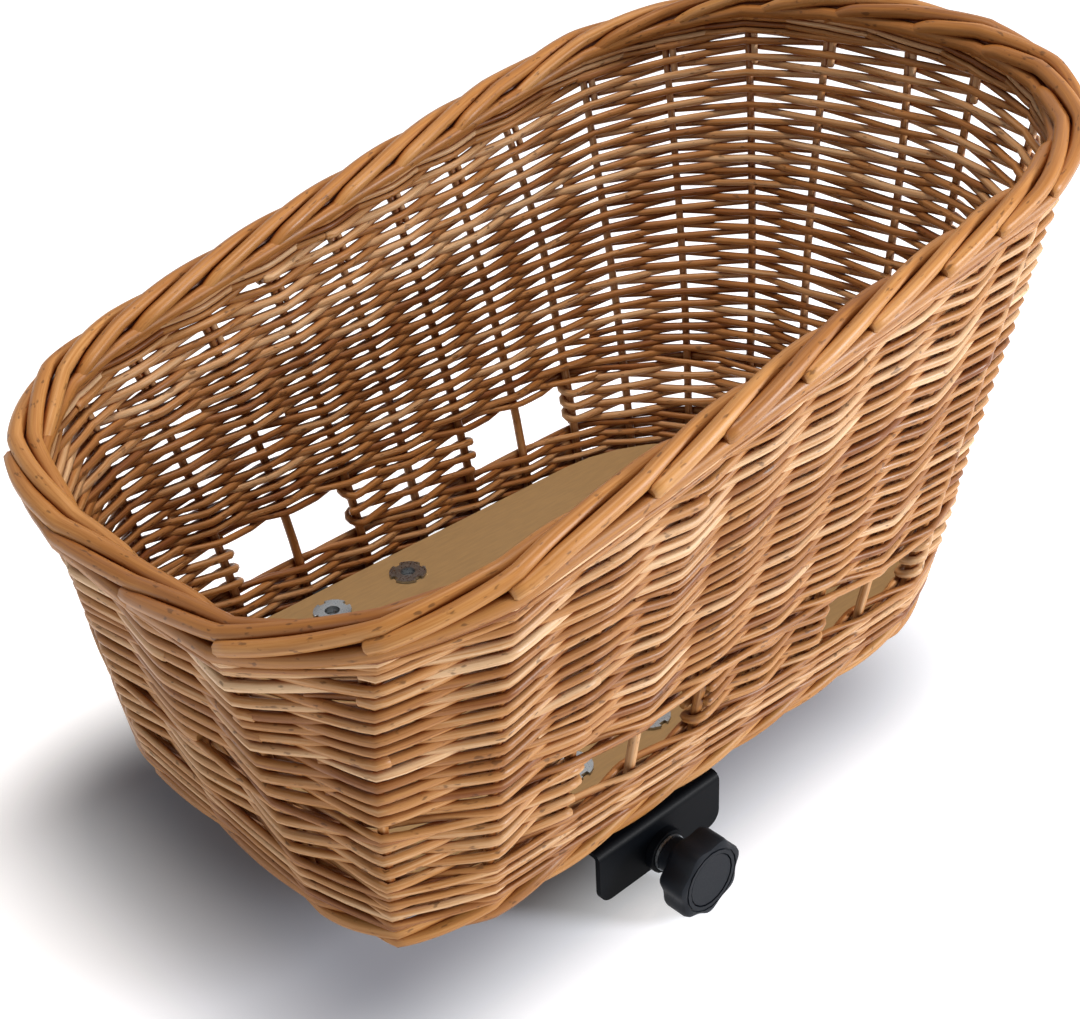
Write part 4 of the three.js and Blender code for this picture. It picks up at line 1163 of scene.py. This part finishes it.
# The floor's own bluish grey shows only inside the painted shadow, where it sets the shadow's tone
FLOOR_COLOUR = "#BBBFCB"
FLOOR_SINK = 0.2 * MM
# The floor glows white except in a dark rectangle round the foot, which paints the shape and fade of
# the shadow over the lamps' own shadow: middle and half size of the dark rectangle, and the lengths
# over which the painted shadow fades along and across the basket. Height plays no part.
SHADOW_MIDDLE = (-55 * MM, 27 * MM, 0)
SHADOW_HALF = (148 * MM, 103 * MM, 1)
SHADOW_FADE = (175 * MM, 120 * MM, 1)
WORLD_LIGHT = 0.08
SENSOR_WIDTH = 36.0
NEAR_CLIP = 10 * MM
WARM_WHITE = "#FFE9D2"
# Lamps: place, what they point at, size in metres, power in watts and colour
LAMPS = {
    "key": ((1.05, -1.75, 0.75), (0, 0, 0.2), 0.6, 52, "#FFFFFF"),
    "fill": ((-1.9, -0.5, 0.8), (0, 0, 0.15), 1.0, 7, "#FFFFFF"),
    "top": ((0.1, -0.1, 2.2), (0, 0, 0.1), 0.8, 34, WARM_WHITE),
}


def area_light(name, place, target, size, power, tint):
    data = bpy.data.lights.new(name, "AREA")
    data.shape = "DISK"
    data.size = size
    data.energy = power
    data.color = linear(tint)
    lamp = bpy.data.objects.new(name, data)
    lamp.location = place
    lamp.rotation_euler = (Vector(target) - Vector(place)).to_track_quat("-Z", "Y").to_euler()
    bpy.context.scene.collection.objects.link(lamp)


class BASKET_OT_stage(bpy.types.Operator):
    """Pale floor, soft studio light and the camera"""

    bl_idname = "basket.stage"
    bl_label = "Stage"

    def execute(self, context):
        scene = context.scene
        scene.view_settings.view_transform = "Standard"
        self.add_floor()
        self.set_world(scene)
        for name, lamp in LAMPS.items():
            area_light(name, *lamp)
        self.add_camera(scene)
        return {"FINISHED"}

    def add_floor(self):
        material, tree, shader = new_material("white_floor")
        shader.inputs["Base Color"].default_value = opaque(linear(FLOOR_COLOUR))
        shader.inputs["Roughness"].default_value = FLOOR_ROUGHNESS
        shader.inputs["Specular IOR Level"].default_value = 0.0
        # Painted shadow: no glow inside the rectangle round the foot, rising to full glow over the fade
        # lengths outside it
        away = add_node(tree, "ShaderNodeTexCoord").outputs["Object"]
        for operation, value in (
            ("SUBTRACT", {1: SHADOW_MIDDLE}),
            ("ABSOLUTE", {}),
            ("SUBTRACT", {1: SHADOW_HALF}),
            ("MAXIMUM", {1: (0, 0, 0)}),
            ("DIVIDE", {1: SHADOW_FADE}),
        ):
            away = add_node(
                tree, "ShaderNodeVectorMath", {0: away, **value}, operation=operation
            ).outputs["Vector"]
        reach = add_node(tree, "ShaderNodeVectorMath", {0: away}, operation="LENGTH").outputs["Value"]
        glow = add_node(
            tree, "ShaderNodeMapRange", {"Value": reach}, interpolation_type="SMOOTHSTEP"
        ).outputs["Result"]
        tree.links.new(glow, shader.inputs["Emission Strength"])
        shader.inputs["Emission Color"].default_value = (1, 1, 1, 1)
        mesh = bpy.data.meshes.new("floor")
        h = FLOOR_SIZE / 2
        corners = [(x, y, -FLOOR_SINK) for x, y in ((-h, -h), (h, -h), (h, h), (-h, h))]
        mesh.from_pydata(corners, [], [(0, 1, 2, 3)])
        mesh.materials.append(material)
        floor = bpy.data.objects.new("floor", mesh)
        bpy.context.scene.collection.objects.link(floor)

    def set_world(self, scene):
        world = bpy.data.worlds.new("studio")
        world.use_nodes = True
        tree = world.node_tree
        tree.nodes.clear()
        path = add_node(tree, "ShaderNodeLightPath")
        seen = path.outputs["Is Camera Ray"]
        for ray in ("Is Glossy Ray", "Is Transmission Ray"):
            seen = add_node(
                tree, "ShaderNodeMath", {0: seen, 1: path.outputs[ray]}, operation="MAXIMUM"
            ).outputs["Value"]
        strength = add_node(
            tree, "ShaderNodeMapRange", {"Value": seen, "To Min": WORLD_LIGHT, "To Max": 1.0}
        ).outputs["Result"]
        light = add_node(tree, "ShaderNodeBackground", {"Color": (1, 1, 1, 1), "Strength": strength})
        add_node(tree, "ShaderNodeOutputWorld", {"Surface": light.outputs["Background"]})
        scene.world = world

    def add_camera(self, scene):
        view = scene.basket_view
        a, e, r = view.azimuth, view.elevation, view.roll
        back = Vector((math.sin(a) * math.cos(e), -math.cos(a) * math.cos(e), math.sin(e)))
        right = Vector((math.cos(a), math.sin(a), 0))
        up = back.cross(right)
        turned_right = right * math.cos(r) + up * math.sin(r)
        turned_up = up * math.cos(r) - right * math.sin(r)
        data = bpy.data.cameras.new("photo_camera")
        data.sensor_fit = "HORIZONTAL"
        data.sensor_width = SENSOR_WIDTH
        data.lens = view.focal_pixels / PHOTO_WIDTH * SENSOR_WIDTH
        data.clip_start = NEAR_CLIP
        camera = bpy.data.objects.new("photo_camera", data)
        turn = Matrix((turned_right, turned_up, back)).transposed()
        camera.matrix_world = Matrix.Translation(view.eye) @ turn.to_4x4()
        scene.collection.objects.link(camera)
        scene.camera = camera


class BASKET_PT_sidebar(bpy.types.Panel):
    """Steps and sizes of the basket"""

    bl_idname = "BASKET_PT_sidebar"
    bl_label = "Willow Dog Basket"
    bl_space_type = "VIEW_3D"
    bl_region_type = "UI"
    bl_category = "Basket"

    def draw(self, context):
        layout = self.layout
        for operator in OPERATORS:
            layout.operator(operator.bl_idname)
        for name in GROUPS:
            group = getattr(context.scene, name)
            box = layout.box()
            for key in group.bl_rna.properties.keys():
                if key not in ("rna_type", "name"):
                    box.prop(group, key)


GROUPS = {
    "basket_wall": BasketWallSizes,
    "basket_rods": BasketRodSizes,
    "basket_finishes": BasketFinishes,
    "basket_view": BasketView,
}
OPERATORS = (
    BASKET_OT_stage,
    BASKET_OT_stakes,
    BASKET_OT_upper_weave,
    BASKET_OT_wales,
    BASKET_OT_piers,
    BASKET_OT_rim_border,
    BASKET_OT_foot_border,
    BASKET_OT_base,
    BASKET_OT_hardware,
)


def register():
    for made in (*GROUPS.values(), *OPERATORS, BASKET_PT_sidebar):
        bpy.utils.register_class(made)
    for name, group in GROUPS.items():
        setattr(bpy.types.Scene, name, bpy.props.PointerProperty(type=group))


def unregister():
    for name in GROUPS:
        delattr(bpy.types.Scene, name)
    for made in (BASKET_PT_sidebar, *reversed(OPERATORS), *reversed(GROUPS.values())):
        bpy.utils.unregister_class(made)


def main():
    register()
    for operator in OPERATORS:
        group, name = operator.bl_idname.split(".")
        getattr(getattr(bpy.ops, group), name)()


if __name__ == "__main__":
    main()
